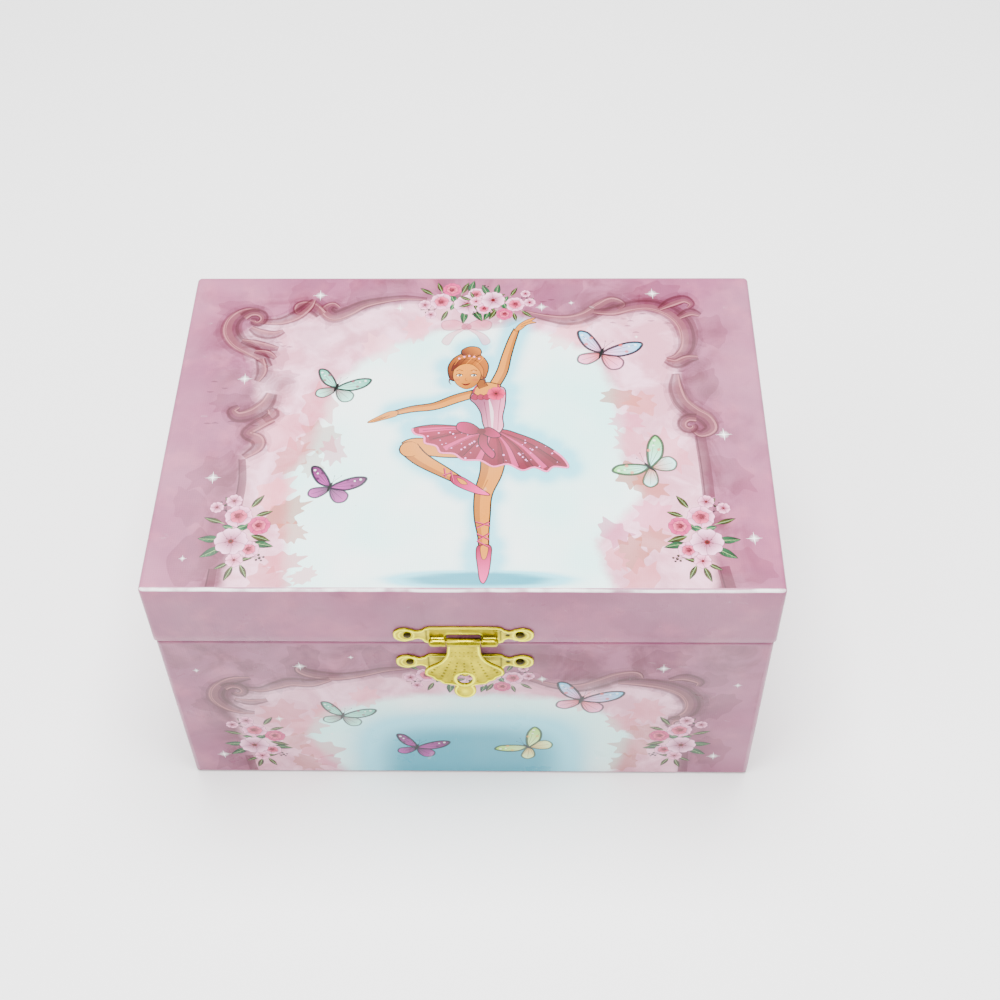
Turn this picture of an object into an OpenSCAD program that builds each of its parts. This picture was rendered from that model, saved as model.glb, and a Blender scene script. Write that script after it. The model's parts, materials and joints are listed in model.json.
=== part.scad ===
// Ballerina jewellery box: a hinged card-and-board box with a lined compartment, an oval
// mirror in the lid, a wind-up movement behind the shelf and a dancer on a flexible spring.
// Millimetres, +Z up, front of the box towards -Y. The origin is the centre of the bottom.
// Everything is drawn with the lid closed and the dancer folded forward under it.

/* [Box] */
// Width of the base, left to right
box_w = 150; // [144:1:160]
// Depth of the base, front to back
box_d = 106; // [106:1:112]
// Height of the base up to its rim
base_h = 62.7; // [62.7:0.1:64]
// Height of the lid
lid_h = 21; // [21:0.5:24]
// How far the lid stands proud of the base on each side
lid_over = 0.4; // [0.2:0.1:0.6]
// Thickness of the board panels
board_t = 2.8; // [2.6:0.1:3]
// Thickness of the printed paper wrap
paper_t = 0.4; // [0.3:0.1:0.4]

/* [Lining] */
// Height of the music shelf above the bottom
shelf_z = 58.5; // [58:0.5:58.5]
// Distance of the shelf's front face behind the middle of the box
shelf_y = 25; // [24:0.5:25.5]
// Radius of the hole that the spring comes up through
shelf_hole_r = 4; // [3:0.5:5]
// Half width and half height of the mirror's oval frame
mirror_rx = 28.5; // [26:0.5:30]
mirror_ry = 37.75; // [35:0.25:38]

/* [Clasp and hinges] */
// Half length of each clasp plate
plate_half = 17; // [16:0.5:18]
// How far the hasp hangs clear of its latched place
hasp_lift = 8.5; // [7:0.5:10]
// Distance of the hinge pins behind the back of the base
hinge_gap = 2.6; // [2.6:0.1:3]
// Distance of each hinge from the middle of the box
hinge_x = 42.5; // [35:0.5:50]

/* [Dancer] */
// Distance of the dancer's spring behind the middle of the box
post_y = 41; // [41:0.1:41.1]
// Radius of the hem of the skirt
skirt_r = 12.6; // [11:0.1:12.6]
// Height of the dancer from toe to bun
dancer_h = 58; // [54:1:58]

/* [Movement] */
// Height of the spring barrel's axis above the bottom
barrel_z = 30; // [29:0.5:30]
// Teeth on the barrel's crown wheel
crown_teeth = 28; // [28:28:28]
// Teeth on each pinion that meets the crown wheel
pinion_teeth = 10; // [10:10:10]
// Teeth on the governor's worm wheel
worm_wheel_teeth = 16; // [16:16:16]

/* [Hidden] */
$fn = 48;
eps = 0.01;

// Box, worked out from the driving dimensions
wall_t = board_t + paper_t;
in_x = box_w / 2 - wall_t;
in_y = box_d / 2 - wall_t;
floor_z = wall_t;
seam_gap = 0.3;
lid_z = base_h + seam_gap;
lid_top = lid_z + lid_h;
lid_x = box_w / 2 + lid_over;
lid_y = box_d / 2 + lid_over;
lid_in_x = lid_x - wall_t;
lid_in_y = lid_y - wall_t;
panel_z = lid_top - wall_t;

// Linings
liner_t = 0.8;
liner_top = base_h - 1.2;
pad_t = 1.2;
card_t = 1.4;
fit_gap = 0.1;
ceiling_z = lid_top - 4.8;
ceiling_x = lid_in_x - 10.2;
ceiling_front = 42;
ceiling_back = 45;
mirror_y = 0.75;
mirror_t = 1.3;
glass_t = 0.8;
frame_w = 4.5;

// Hinges
pivot_y = box_d / 2 + hinge_gap;
pivot_z = base_h + seam_gap / 2;
leaf_half = 11.25;
knuckle_half = 4.95;
knuckle_gap = 0.3;
knuckle_r = 1.75;
pin_r = 0.7;
run = 0.05;
leaf_t = 0.6;
leaf_reach = 9.5;
nail_r = 0.55;
nail_head_r = 1.2;
nail_head_t = 0.4;
nail_len = 2.4;
hinge_nail_x = 8;
hinge_nail_z = 6.3;

// Clasp
plate_t = 0.6;
hasp_y = -(lid_y + plate_t + 0.95);
hasp_z = 65.5;
hasp_pin_r = 0.45;
hasp_barrel_r = 1.1;
hasp_barrel_half = 4;
loop_end = 8.2;
knob_z = hasp_z - 13.1;
knob_r = 1.25;
rivet_r = 0.7;
collar_r = 1.65;
collar_t = 0.1;
hasp_hole_r = 1.9;
knob_tip = 55.7 + (box_d - 106) / 2;
lid_ear_z = 66.9;
base_ear_z = 54.9;
ear_x = plate_half - 2.7;
ear_r = 2.7;

// Dancer and her spring
fold_z = shelf_z + 5;
bend_r = 4;
coil_r = 2.05;
coil_bore = 1.15;
coil_foot_z = 49.8;
coil_end = 6;
foot_d = 6.9;

// Movement: the barrel's axis runs along Y, its pinions lie in the plane of the post
tooth_pitch = 2.356;
crown_r = crown_teeth * tooth_pitch / 360 * 180 / PI;
pinion_r = pinion_teeth * tooth_pitch / 360 * 180 / PI;
mesh_y = post_y + pinion_r;
face_in = crown_r - 1.4;
face_out = crown_r + 1.4;
drum_r = 8.5;
drum_front = 33.5;
plate_y = in_y - 2;
arbor_r = 1.8;
key_hole_r = 3.6;
bed_left = -45;
bed_right = 31;
bed_from = 6;
bed_to = 50;
screw_r = 1.1;
comb_screw_r = 0.9;
bracket_t = 1.6;
shaft_r = 0.8;
cyl_r = 5.6;
cyl_from = -38;
cyl_to = -16;
pin_tracks = 18;
comb_tip_z = barrel_z - cyl_r - 0.7;
worm_x = 18.5;
worm_r = 1.4;
worm_throw = 0.5;
worm_pitch = 1.65;
wheel_tip_r = 4.5;
wheel_root_r = 3.4;
worm_y = post_y - wheel_tip_r - worm_r + 0.1;

function oval(a, b, n = 72) = [for (i = [0:n - 1]) [a * cos(i * 360 / n), b * sin(i * 360 / n)]];
function mirror_points(half) =
  concat(half, [for (i = [len(half) - 1:-1:0]) [-half[i][0], half[i][1]]]);

// A box between two corners
module slab(x0, x1, y0, y1, z0, z1) {
  translate([x0, y0, z0]) cube([x1 - x0, y1 - y0, z1 - z0]);
}

module rod_x(r, x0, x1) {
  translate([x0, 0, 0]) rotate([0, 90, 0]) cylinder(r = r, h = x1 - x0);
}

module rod_y(r, y0, y1) {
  translate([0, y1, 0]) rotate([90, 0, 0]) cylinder(r = r, h = y1 - y0);
}

// A flat shape in X and Z, standing on the plane y and growing towards the front
module plaque(y, t) {
  translate([0, y, 0]) rotate([90, 0, 0]) linear_extrude(t) children();
}

// ---- Nails -------------------------------------------------------------------------

// Nail with its head's underside on the origin, driven towards -Z
module nail() {
  cylinder(r = nail_head_r, h = nail_head_t);
  translate([0, 0, -nail_len]) cylinder(r = nail_r, h = nail_len + eps);
}

module nail_hole() {
  translate([0, 0, -nail_len]) cylinder(r = nail_r, h = nail_len + 2);
}

// Four places of the hinge nails, on the back; side is -1 for the base and 1 for the lid
module at_hinge_nails(side, y) {
  for (hx = [-hinge_x, hinge_x], dx = [-hinge_nail_x, hinge_nail_x])
    translate([hx + dx, y, pivot_z + side * hinge_nail_z]) rotate([-90, 0, 0]) children();
}

// Two places of a clasp plate's nails, on the front
module at_clasp_nails(y, z) {
  for (sx = [-1, 1])
    translate([sx * (ear_x - 0.8), y, z]) rotate([90, 0, 0]) children();
}

module base_nail_holes() {
  at_hinge_nails(-1, box_d / 2 + leaf_t) nail_hole();
  at_clasp_nails(-box_d / 2 - plate_t, base_ear_z) nail_hole();
}

module lid_nail_holes() {
  at_hinge_nails(1, lid_y + leaf_t) nail_hole();
  at_clasp_nails(-lid_y - plate_t, lid_ear_z) nail_hole();
}

module hinge_base_nails() {
  color("goldenrod") at_hinge_nails(-1, box_d / 2 + leaf_t) nail();
}

module hinge_lid_nails() {
  color("goldenrod") at_hinge_nails(1, lid_y + leaf_t) nail();
}

module clasp_lid_nails() {
  color("goldenrod") at_clasp_nails(-lid_y - plate_t, lid_ear_z) nail();
}

module clasp_base_nails() {
  color("goldenrod") at_clasp_nails(-box_d / 2 - plate_t, base_ear_z) nail();
}

// ---- Base shell ----------------------------------------------------------------------

module key_hole(r) {
  translate([0, 0, barrel_z]) rod_y(r, in_y - 1, box_d / 2 + 1);
}

module base_front_wall() {
  color("burlywood") difference() {
    slab(-box_w / 2 + paper_t, box_w / 2 - paper_t, -box_d / 2 + paper_t, -in_y,
      paper_t, base_h - paper_t);
    base_nail_holes();
  }
}

module base_back_wall() {
  color("burlywood") difference() {
    slab(-box_w / 2 + paper_t, box_w / 2 - paper_t, in_y, box_d / 2 - paper_t,
      paper_t, base_h - paper_t);
    base_nail_holes();
    key_hole(key_hole_r);
    at_bedplate_screws() screw_hole();
  }
}

module base_side_wall(side) {
  color("burlywood")
    translate([side > 0 ? in_x : -box_w / 2 + paper_t, -in_y, paper_t])
      cube([board_t, 2 * in_y, base_h - 2 * paper_t]);
}

module base_left_wall() {
  base_side_wall(-1);
}

module base_right_wall() {
  base_side_wall(1);
}

module base_floor() {
  color("burlywood") slab(-in_x, in_x, -in_y, in_y, paper_t, floor_z);
}

module base_wrap() {
  color("plum") difference() {
    slab(-box_w / 2, box_w / 2, -box_d / 2, box_d / 2, paper_t, base_h);
    slab(-box_w / 2 + paper_t, box_w / 2 - paper_t, -box_d / 2 + paper_t,
      box_d / 2 - paper_t, 0, base_h - paper_t);
    slab(-in_x, in_x, -in_y, in_y, base_h - 1, base_h + 1);
    base_nail_holes();
    key_hole(key_hole_r);
  }
}

module bottom_paper() {
  color("mistyrose")
    slab(-box_w / 2 + 0.6, box_w / 2 - 0.6, -box_d / 2 + 0.6, box_d / 2 - 0.6, 0, paper_t);
}

// ---- Lid shell -----------------------------------------------------------------------

module lid_top_panel() {
  color("burlywood")
    slab(-lid_x + paper_t, lid_x - paper_t, -lid_y + paper_t, lid_y - paper_t,
      panel_z, lid_top - paper_t);
}

module lid_front_wall() {
  color("burlywood") difference() {
    slab(-lid_x + paper_t, lid_x - paper_t, -lid_y + paper_t, -lid_in_y,
      lid_z + paper_t, panel_z);
    lid_nail_holes();
  }
}

module lid_back_wall() {
  color("burlywood") difference() {
    slab(-lid_x + paper_t, lid_x - paper_t, lid_in_y, lid_y - paper_t,
      lid_z + paper_t, panel_z);
    lid_nail_holes();
  }
}

module lid_side_wall(side) {
  color("burlywood")
    translate([side > 0 ? lid_in_x : -lid_x + paper_t, -lid_in_y, lid_z + paper_t])
      cube([board_t, 2 * lid_in_y, panel_z - lid_z - paper_t]);
}

module lid_left_wall() {
  lid_side_wall(-1);
}

module lid_right_wall() {
  lid_side_wall(1);
}

module lid_wrap() {
  color("plum") difference() {
    slab(-lid_x, lid_x, -lid_y, lid_y, lid_z, lid_top);
    slab(-lid_x + paper_t, lid_x - paper_t, -lid_y + paper_t, lid_y - paper_t,
      lid_z + paper_t, lid_top - paper_t);
    slab(-lid_in_x, lid_in_x, -lid_in_y, lid_in_y, lid_z - 1, lid_z + 1);
    lid_nail_holes();
  }
}

// ---- Linings -------------------------------------------------------------------------

// A strip of flocked card bent round the front and both sides of the compartment
module compartment_liner() {
  color("pink") difference() {
    slab(-in_x, in_x, -in_y, shelf_y - fit_gap, floor_z, liner_top);
    slab(-in_x + liner_t, in_x - liner_t, -in_y + liner_t, shelf_y + 1,
      floor_z - 1, liner_top + 1);
  }
}

module compartment_pad() {
  color("pink")
    slab(-in_x + liner_t + fit_gap, in_x - liner_t - fit_gap,
      -in_y + liner_t + fit_gap, shelf_y - fit_gap, floor_z, floor_z + pad_t);
}

module shelf_top() {
  color("pink") difference() {
    slab(-in_x + fit_gap, in_x - fit_gap, shelf_y, in_y, shelf_z - card_t, shelf_z);
    translate([0, post_y, shelf_z - card_t - 1]) cylinder(r = shelf_hole_r, h = card_t + 2);
  }
}

module shelf_front() {
  color("pink")
    slab(-in_x + fit_gap, in_x - fit_gap, shelf_y, shelf_y + card_t,
      floor_z, shelf_z - card_t);
}

module lid_liner_ceiling() {
  color("pink")
    slab(-ceiling_x + fit_gap, ceiling_x - fit_gap, -ceiling_front + fit_gap,
      ceiling_back - fit_gap, ceiling_z, panel_z);
}

// One sloping side of the lid tray: a thin plate from the rim (r) to the ceiling (c)
module slope(rx0, rx1, ry0, ry1, cx0, cx1, cy0, cy1) {
  hull() {
    slab(rx0, rx1, ry0, ry1, lid_z + 0.6, lid_z + 0.7);
    slab(cx0, cx1, cy0, cy1, panel_z - 0.1, panel_z);
  }
}

module lid_liner_slopes() {
  rim_x = lid_in_x - fit_gap;
  rim_y = lid_in_y - fit_gap;
  t = liner_t;
  color("pink") {
    slope(-rim_x + t + fit_gap, rim_x - t - fit_gap, -rim_y, -rim_y + t,
      -ceiling_x + fit_gap, ceiling_x - fit_gap, -ceiling_front - t, -ceiling_front);
    slope(-rim_x + t + fit_gap, rim_x - t - fit_gap, rim_y - t, rim_y,
      -ceiling_x + fit_gap, ceiling_x - fit_gap, ceiling_back, ceiling_back + t);
    for (s = [-1, 1])
      scale([s, 1, 1])
        slope(rim_x - t, rim_x, -rim_y + t + fit_gap, rim_y - t - fit_gap,
          ceiling_x, ceiling_x + t, -ceiling_front + fit_gap, ceiling_back - fit_gap);
  }
}

module mirror_frame() {
  color("silver") translate([0, mirror_y, ceiling_z - mirror_t]) difference() {
    linear_extrude(mirror_t) polygon(oval(mirror_rx, mirror_ry));
    translate([0, 0, -1]) linear_extrude(mirror_t + 2)
      polygon(oval(mirror_rx - frame_w, mirror_ry - frame_w - 2));
    translate([0, 0, mirror_t - glass_t]) linear_extrude(mirror_t)
      polygon(oval(mirror_rx - 2.5, mirror_ry - 3.5));
  }
}

module mirror_glass() {
  color("lightsteelblue") translate([0, mirror_y, ceiling_z - glass_t])
    linear_extrude(glass_t) polygon(oval(mirror_rx - 2.6, mirror_ry - 3.6));
}

// ---- Hinges --------------------------------------------------------------------------

// Everything below is drawn about the hinge's pin, which lies along X
module outer_knuckles(r, grow = 0) {
  for (s = [-1, 1])
    scale([s, 1, 1]) rod_x(r, knuckle_half + knuckle_gap - grow, leaf_half + grow);
}

module hinge_base_leaf(hx) {
  color("darkgoldenrod") translate([hx, pivot_y, pivot_z]) difference() {
    union() {
      outer_knuckles(knuckle_r);
      for (s = [-1, 1]) scale([s, 1, 1]) {
        slab(knuckle_half + knuckle_gap, leaf_half, -hinge_gap, 0, -1.7, -1.1);
        slab(knuckle_half + knuckle_gap, leaf_half, -hinge_gap, -hinge_gap + leaf_t,
          -2, -1.1);
      }
      slab(-leaf_half, leaf_half, -hinge_gap, -hinge_gap + leaf_t, -leaf_reach, -1.9);
    }
    outer_knuckles(pin_r, 1);
    translate([-hx, -pivot_y, -pivot_z]) base_nail_holes();
  }
}

module hinge_lid_leaf(hx) {
  near = hinge_gap - lid_over;
  color("darkgoldenrod") translate([hx, pivot_y, pivot_z]) difference() {
    union() {
      rod_x(knuckle_r, -knuckle_half, knuckle_half);
      slab(-knuckle_half, knuckle_half, -near, 0, 1.1, 1.7);
      slab(-knuckle_half, knuckle_half, -near, -near + leaf_t, 1.1, 2);
      slab(-leaf_half, leaf_half, -near, -near + leaf_t, 1.9, leaf_reach);
    }
    rod_x(pin_r + run, -knuckle_half - 1, knuckle_half + 1);
    translate([-hx, -pivot_y, -pivot_z]) lid_nail_holes();
  }
}

module hinge_pin(hx) {
  color("goldenrod") translate([hx, pivot_y, pivot_z])
    rod_x(pin_r, -leaf_half - 0.2, leaf_half + 0.2);
}

module hinge_left_base_leaf() {
  hinge_base_leaf(-hinge_x);
}

module hinge_left_lid_leaf() {
  hinge_lid_leaf(-hinge_x);
}

module hinge_left_pin() {
  hinge_pin(-hinge_x);
}

module hinge_right_base_leaf() {
  hinge_base_leaf(hinge_x);
}

module hinge_right_lid_leaf() {
  hinge_lid_leaf(hinge_x);
}

module hinge_right_pin() {
  hinge_pin(hinge_x);
}

// ---- Clasp ---------------------------------------------------------------------------

// Outline shared by both clasp plates: a middle block, two necks and two rounded ears
module plate_outline(mid_z, up, down) {
  neck_x = ear_x + 0.9;
  polygon(mirror_points([[0, mid_z + up], [8.6, mid_z + up], [9.8, mid_z + up - 1.2],
    [10.6, mid_z + 1.6], [neck_x, mid_z + 2], [neck_x, mid_z - 2],
    [11.2, mid_z - 1.8], [8.6, mid_z - down], [0, mid_z - down]]));
  for (s = [-1, 1])
    translate([s * ear_x, mid_z]) circle(r = ear_r);
}

module clasp_lid_plate() {
  color("gold") difference() {
    union() {
      difference() {
        plaque(-lid_y, plate_t) plate_outline(lid_ear_z, 3.2, 3.5);
        slab(-hasp_barrel_half - 0.2, hasp_barrel_half + 0.2, -lid_y - 3, -lid_y + 1,
          hasp_z - 1.4, hasp_z + 1.5);
      }
      for (s = [-1, 1])
        translate([0, hasp_y, hasp_z]) scale([s, 1, 1])
          rod_x(hasp_barrel_r, hasp_barrel_half + 0.2, loop_end);
    }
    translate([0, hasp_y, hasp_z]) rod_x(hasp_pin_r, -loop_end - 1, loop_end + 1);
    lid_nail_holes();
  }
}

module clasp_pin() {
  color("goldenrod") translate([0, hasp_y, hasp_z]) rod_x(hasp_pin_r, -loop_end, loop_end);
}

// The hasp's outline below its barrel: neck, fan and thumb tab
module hasp_outline() {
  polygon(mirror_points([[0, 0], [4, 0], [4.1, -3], [4.6, -5.4], [6.4, -7.6],
    [8.8, -8.9], [9.8, -10.4], [9.6, -11.6], [8.2, -12.8], [6.6, -13.6], [5.8, -14.6],
    [4.2, -15.3], [2.6, -15.6], [0, -15.6]]));
  translate([0, -17.4]) circle(r = 2.8);
}

module clasp_hasp() {
  color("gold") translate([0, hasp_y, hasp_z]) rotate([-hasp_lift, 0, 0]) difference() {
    union() {
      rod_x(hasp_barrel_r, -hasp_barrel_half, hasp_barrel_half);
      translate([0, 0.5, 0]) rotate([90, 0, 0]) linear_extrude(plate_t) hasp_outline();
    }
    rod_x(hasp_pin_r + run, -hasp_barrel_half - 1, hasp_barrel_half + 1);
    translate([0, 0, knob_z - hasp_z]) rod_y(hasp_hole_r, -3, 3);
  }
}

module clasp_base_plate() {
  color("gold") difference() {
    union() {
      plaque(-box_d / 2, plate_t) plate_outline(base_ear_z, 3.2, 4);
      translate([0, 0, knob_z])
        rod_y(collar_r, -box_d / 2 - plate_t - collar_t, -box_d / 2 - collar_t);
    }
    base_nail_holes();
    translate([0, 0, knob_z]) rod_y(rivet_r, -box_d / 2 - 2, -box_d / 2 + 1);
  }
}

// A domed stud, riveted through the plate
module clasp_knob() {
  color("khaki") translate([0, 0, knob_z]) rotate([90, 0, 0]) {
    translate([0, 0, box_d / 2]) cylinder(r = rivet_r, h = plate_t + eps);
    translate([0, 0, box_d / 2 + plate_t]) cylinder(r = knob_r, h = 1.2);
    translate([0, 0, knob_tip - 0.9 - eps]) cylinder(r1 = knob_r, r2 = 0.55, h = 0.9 + eps);
  }
}

// ---- Dancer --------------------------------------------------------------------------

// The dancer is built standing, with the fold axis as her origin and her face to -Y
module dancer_place() {
  translate([0, post_y, fold_z]) rotate([90, 0, 0]) children();
}

module ball(p, r) {
  translate(p) sphere(r = r, $fn = 16);
}

// A limb between two points
module limb(a, ra, b, rb) {
  hull() {
    ball(a, ra);
    ball(b, rb);
  }
}

module dancer_body() {
  k = dancer_h / 58;
  color("wheat") dancer_place() translate([0, 0, foot_d]) scale([1, 1, k]) {
    limb([0, 0, 0.9], 0.9, [0, 0, 5], 1.1);
    limb([0, 0, 5], 1.1, [0.2, 0, 16], 1.5);
    limb([0.2, 0, 16], 1.5, [1, 0, 32], 2.2);
    limb([-1, 0, 32], 2.2, [-2.6, -1.6, 19], 1.5);
    limb([-2.6, -1.6, 19], 1.5, [-0.8, -0.6, 10], 1);
    limb([0, 0, 33], 3, [0, 0, 38], 2.4);
    limb([0, 0, 38], 2.4, [0, 0, 43], 2.8);
    limb([-3.6, 0, 43.6], 1.3, [3.6, 0, 43.6], 1.3);
    for (s = [-1, 1]) {
      limb([s * 4, 0, 43.4], 1.2, [s * 8.2, 0.6, 38.6], 0.9);
      limb([s * 8.2, 0.6, 38.6], 0.9, [s * 12, -0.6, 33.6], 0.7);
    }
    limb([0, 0, 44], 1.2, [0, 0, 49], 1.2);
    limb([0, 0, 50.6], 3.1, [0, 0, 52.6], 3);
    limb([0, 0.6, 55], 1.6, [0, 0.6, 56.3], 1.6);
  }
}

module dancer_tutu() {
  hem_d = 33.5;
  waist_d = 44.5;
  color("orchid") dancer_place() rotate_extrude()
    polygon([[3.4, waist_d], [skirt_r, hem_d + 1], [skirt_r, hem_d],
      [skirt_r - 0.8, hem_d], [3.3, waist_d - 2]]);
}

// The pin under her toe, which turns in the top of the spring
module dancer_peg() {
  color("silver") dancer_place() {
    translate([0, 0, 4.2]) cylinder(r = coil_bore - 0.08, h = foot_d - 4.2 - 0.3);
    translate([0, 0, foot_d - 0.3]) cylinder(r = 0.5, h = 0.35);
  }
}

module spring_ferrule() {
  color("gainsboro") dancer_place() difference() {
    translate([0, 0, 5]) cylinder(r = 2.6, h = 1.3);
    translate([0, 0, 4]) cylinder(r = coil_r + 0.06, h = 1 + coil_end - 5 + fit_gap);
    translate([0, 0, 4]) cylinder(r = coil_bore, h = 4);
  }
}

// The closed outer shape of the flexible coil, bent over at the fold
module flex_spring() {
  color("dimgray") difference() {
    union() {
      translate([0, post_y, coil_foot_z]) cylinder(r = coil_r, h = fold_z - bend_r - coil_foot_z);
      translate([0, post_y - bend_r, fold_z - bend_r]) rotate([90, 0, 90])
        rotate_extrude(angle = 90) translate([bend_r, 0]) circle(r = coil_r);
      dancer_place() translate([0, 0, bend_r]) cylinder(r = coil_r, h = coil_end - bend_r);
    }
    translate([0, post_y, coil_foot_z - 1]) cylinder(r = coil_bore, h = 5);
    dancer_place() translate([0, 0, bend_r]) cylinder(r = coil_bore, h = 4);
  }
}

// ---- Movement: frame -----------------------------------------------------------------

module at_bedplate_screws() {
  for (x = [bed_left + 4, bed_right - 4], z = [bed_from + 4, bed_to - 4])
    translate([x, plate_y, z]) rotate([90, 0, 0]) children();
}

module screw_hole() {
  translate([0, 0, -4]) cylinder(r = screw_r, h = 6);
}

module at_comb_screws() {
  for (x = [-33, -21])
    translate([x, post_y - 0.5, barrel_z - 19]) rotate([90, 0, 0]) children();
}

module bedplate() {
  color("darkgray") difference() {
    union() {
      slab(bed_left, bed_right, plate_y, in_y, bed_from, bed_to);
      slab(cyl_from, cyl_to, post_y + 0.5, plate_y, barrel_z - 22, barrel_z - 16.5);
    }
    translate([0, 0, barrel_z]) rod_y(arbor_r + run, plate_y - 1, in_y + 1);
    at_bedplate_screws() screw_hole();
    at_comb_screws() translate([0, 0, -4]) cylinder(r = comb_screw_r, h = 6);
  }
}

module bedplate_screws() {
  color("lightgray") at_bedplate_screws() {
    difference() {
      cylinder(r = 2.4, h = 1.3);
      translate([-3, -0.3, 0.7]) cube([6, 0.6, 1]);
    }
    translate([0, 0, -4]) cylinder(r = screw_r, h = 4 + eps);
  }
}

module barrel_bridge() {
  color("darkgray") translate([0, 0, barrel_z]) difference() {
    union() {
      slab(-4, 4, drum_front - 3, drum_front - 1.8, -18, 4);
      slab(-4, 4, drum_front - 3, plate_y, -18, -13.5);
    }
    rod_y(arbor_r + run, drum_front - 4, drum_front);
  }
}

module spindle_bracket() {
  color("darkgray") difference() {
    slab(-4, 4, post_y - 3.5, plate_y, barrel_z + 13.2, barrel_z + 18);
    translate([0, post_y, barrel_z + 12]) cylinder(r = 1 + run, h = 8);
  }
}

module cylinder_brackets() {
  color("darkgray") difference() {
    for (x = [cyl_from - 3, cyl_to + 1])
      slab(x, x + bracket_t, post_y - 3, plate_y, barrel_z - 3, barrel_z + 3);
    translate([0, post_y, barrel_z]) rod_x(shaft_r + run, cyl_from - 5, cyl_to + 5);
  }
}

module governor_bracket() {
  color("darkgray") difference() {
    union() {
      for (x = [13.5, 23.5])
        slab(x, x + 1.5, post_y - 2.5, plate_y, barrel_z - 3, barrel_z + 3);
      for (z = [-7, 11])
        slab(worm_x - 1.6, worm_x + 1.6, worm_y - 1.8, plate_y, barrel_z + z,
          barrel_z + z + 1.3);
    }
    translate([0, post_y, barrel_z]) rod_x(shaft_r + run, 12, 27);
    translate([worm_x, worm_y, barrel_z - 8]) cylinder(r = 0.5 + run, h = 24);
  }
}

// ---- Movement: spring and key --------------------------------------------------------

// Crown teeth point forward; a tooth stands at each of the four quarter points
module crown_teeth_ring() {
  for (i = [0:crown_teeth - 1])
    rotate([0, i * 360 / crown_teeth, 0])
      translate([face_in, mesh_y, 0]) linear_tooth(2.8);
}

// A tooth of a crown wheel, along +X, standing forward of its root
module linear_tooth(face) {
  rotate([90, 0, 90]) linear_extrude(face)
    polygon([[0.95, -0.62], [0.95, 0.62], [-0.1, 0.36], [-0.6, 0.2], [-0.6, -0.2],
      [-0.1, -0.36]]);
}

module spring_barrel() {
  color("gold") translate([0, 0, barrel_z]) {
    difference() {
      union() {
        rod_y(drum_r, drum_front, mesh_y + 1);
        rod_y(face_out + 0.2, mesh_y + 0.9, mesh_y + 2.15);
      }
      rod_y(drum_r - 0.8, drum_front - 1, mesh_y + 0.2);
      rod_y(arbor_r + run, drum_front, in_y);
    }
    crown_teeth_ring();
  }
}

module barrel_cap() {
  color("khaki") translate([0, 0, barrel_z]) difference() {
    rod_y(drum_r - 0.8, drum_front, drum_front + 0.8);
    rod_y(arbor_r + run, drum_front - 1, drum_front + 2);
  }
}

// The coiled ribbon inside the barrel
module mainspring() {
  turns = 6;
  steps = 20;
  from_r = 2.9;
  to_r = 7.1;
  n = turns * steps;
  rim = function(i, w) (from_r + (to_r - from_r) * i / n + w) *
    [cos(i * 360 / steps), sin(i * 360 / steps)];
  color("slategray") translate([0, 0, barrel_z]) translate([0, mesh_y - 0.2, 0])
    rotate([90, 0, 0]) linear_extrude(mesh_y - drum_front - 1.6)
      polygon(concat([for (i = [0:n]) rim(i, 0.15)], [for (i = [n:-1:0]) rim(i, -0.15)]));
}

module winding_arbor() {
  color("silver") translate([0, 0, barrel_z]) rod_y(arbor_r, drum_front - 3.6, box_d / 2 + 9);
}

module key_bushing() {
  color("gray") translate([0, 0, barrel_z]) difference() {
    union() {
      rod_y(key_hole_r, in_y, box_d / 2);
      rod_y(5.2, box_d / 2, box_d / 2 + 0.8);
    }
    rod_y(2.4, in_y - 1, box_d / 2 + 2);
  }
}

// Butterfly key: a hub on the arbor and two pierced wings
module winding_key() {
  hub_y = box_d / 2 + 1.4;
  wing_y = hub_y + 12;
  wing_t = 1.6;
  wing_x = 5.4;
  wing_r = 5;
  color("silver") translate([0, 0, barrel_z]) difference() {
    union() {
      rod_y(3, hub_y, hub_y + 9.5);
      translate([0, wing_y, -wing_t / 2]) linear_extrude(wing_t) {
        for (s = [-1, 1])
          translate([s * wing_x, 0]) circle(r = wing_r);
        translate([-4, -5]) square([8, 8]);
      }
    }
    rod_y(arbor_r, hub_y - 1, box_d / 2 + 9);
    for (s = [-1, 1])
      translate([s * (wing_x + 0.6), wing_y, -2]) cylinder(r = 2, h = 4);
  }
}

// ---- Movement: wheels ----------------------------------------------------------------

// A pinion along +Z; a gap between two teeth faces the direction of +Y
module pinion(face) {
  root = pinion_r - 0.95;
  linear_extrude(face) {
    circle(r = root);
    for (i = [0:pinion_teeth - 1])
      rotate((i + 0.5) * 360 / pinion_teeth + 90)
        polygon([[root - 0.4, -0.62], [pinion_r, -0.38], [pinion_r + 0.6, -0.18],
          [pinion_r + 0.6, 0.18], [pinion_r, 0.38], [root - 0.4, 0.62]]);
  }
}

// Turns a wheel that is drawn along +Z to lie along +X, keeping its +Y
module along_x() {
  rotate([0, 90, 0]) children();
}

module spindle() {
  color("silver") translate([0, post_y, barrel_z]) {
    translate([0, 0, face_in + 0.05]) pinion(2.7);
    translate([0, 0, face_in + 0.1]) cylinder(r = 1, h = 21 - face_in);
    translate([0, 0, 18.3]) cylinder(r = 1.8, h = 1);
  }
  color("silver") translate([0, post_y, barrel_z + 20]) cylinder(r = coil_bore - 0.08, h = 3);
}

module cylinder_shaft() {
  color("silver") translate([0, post_y, barrel_z]) {
    rod_x(shaft_r, cyl_from - 3, -face_in);
    translate([-face_out + 0.05, 0, 0]) along_x() pinion(2.7);
  }
}

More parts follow.
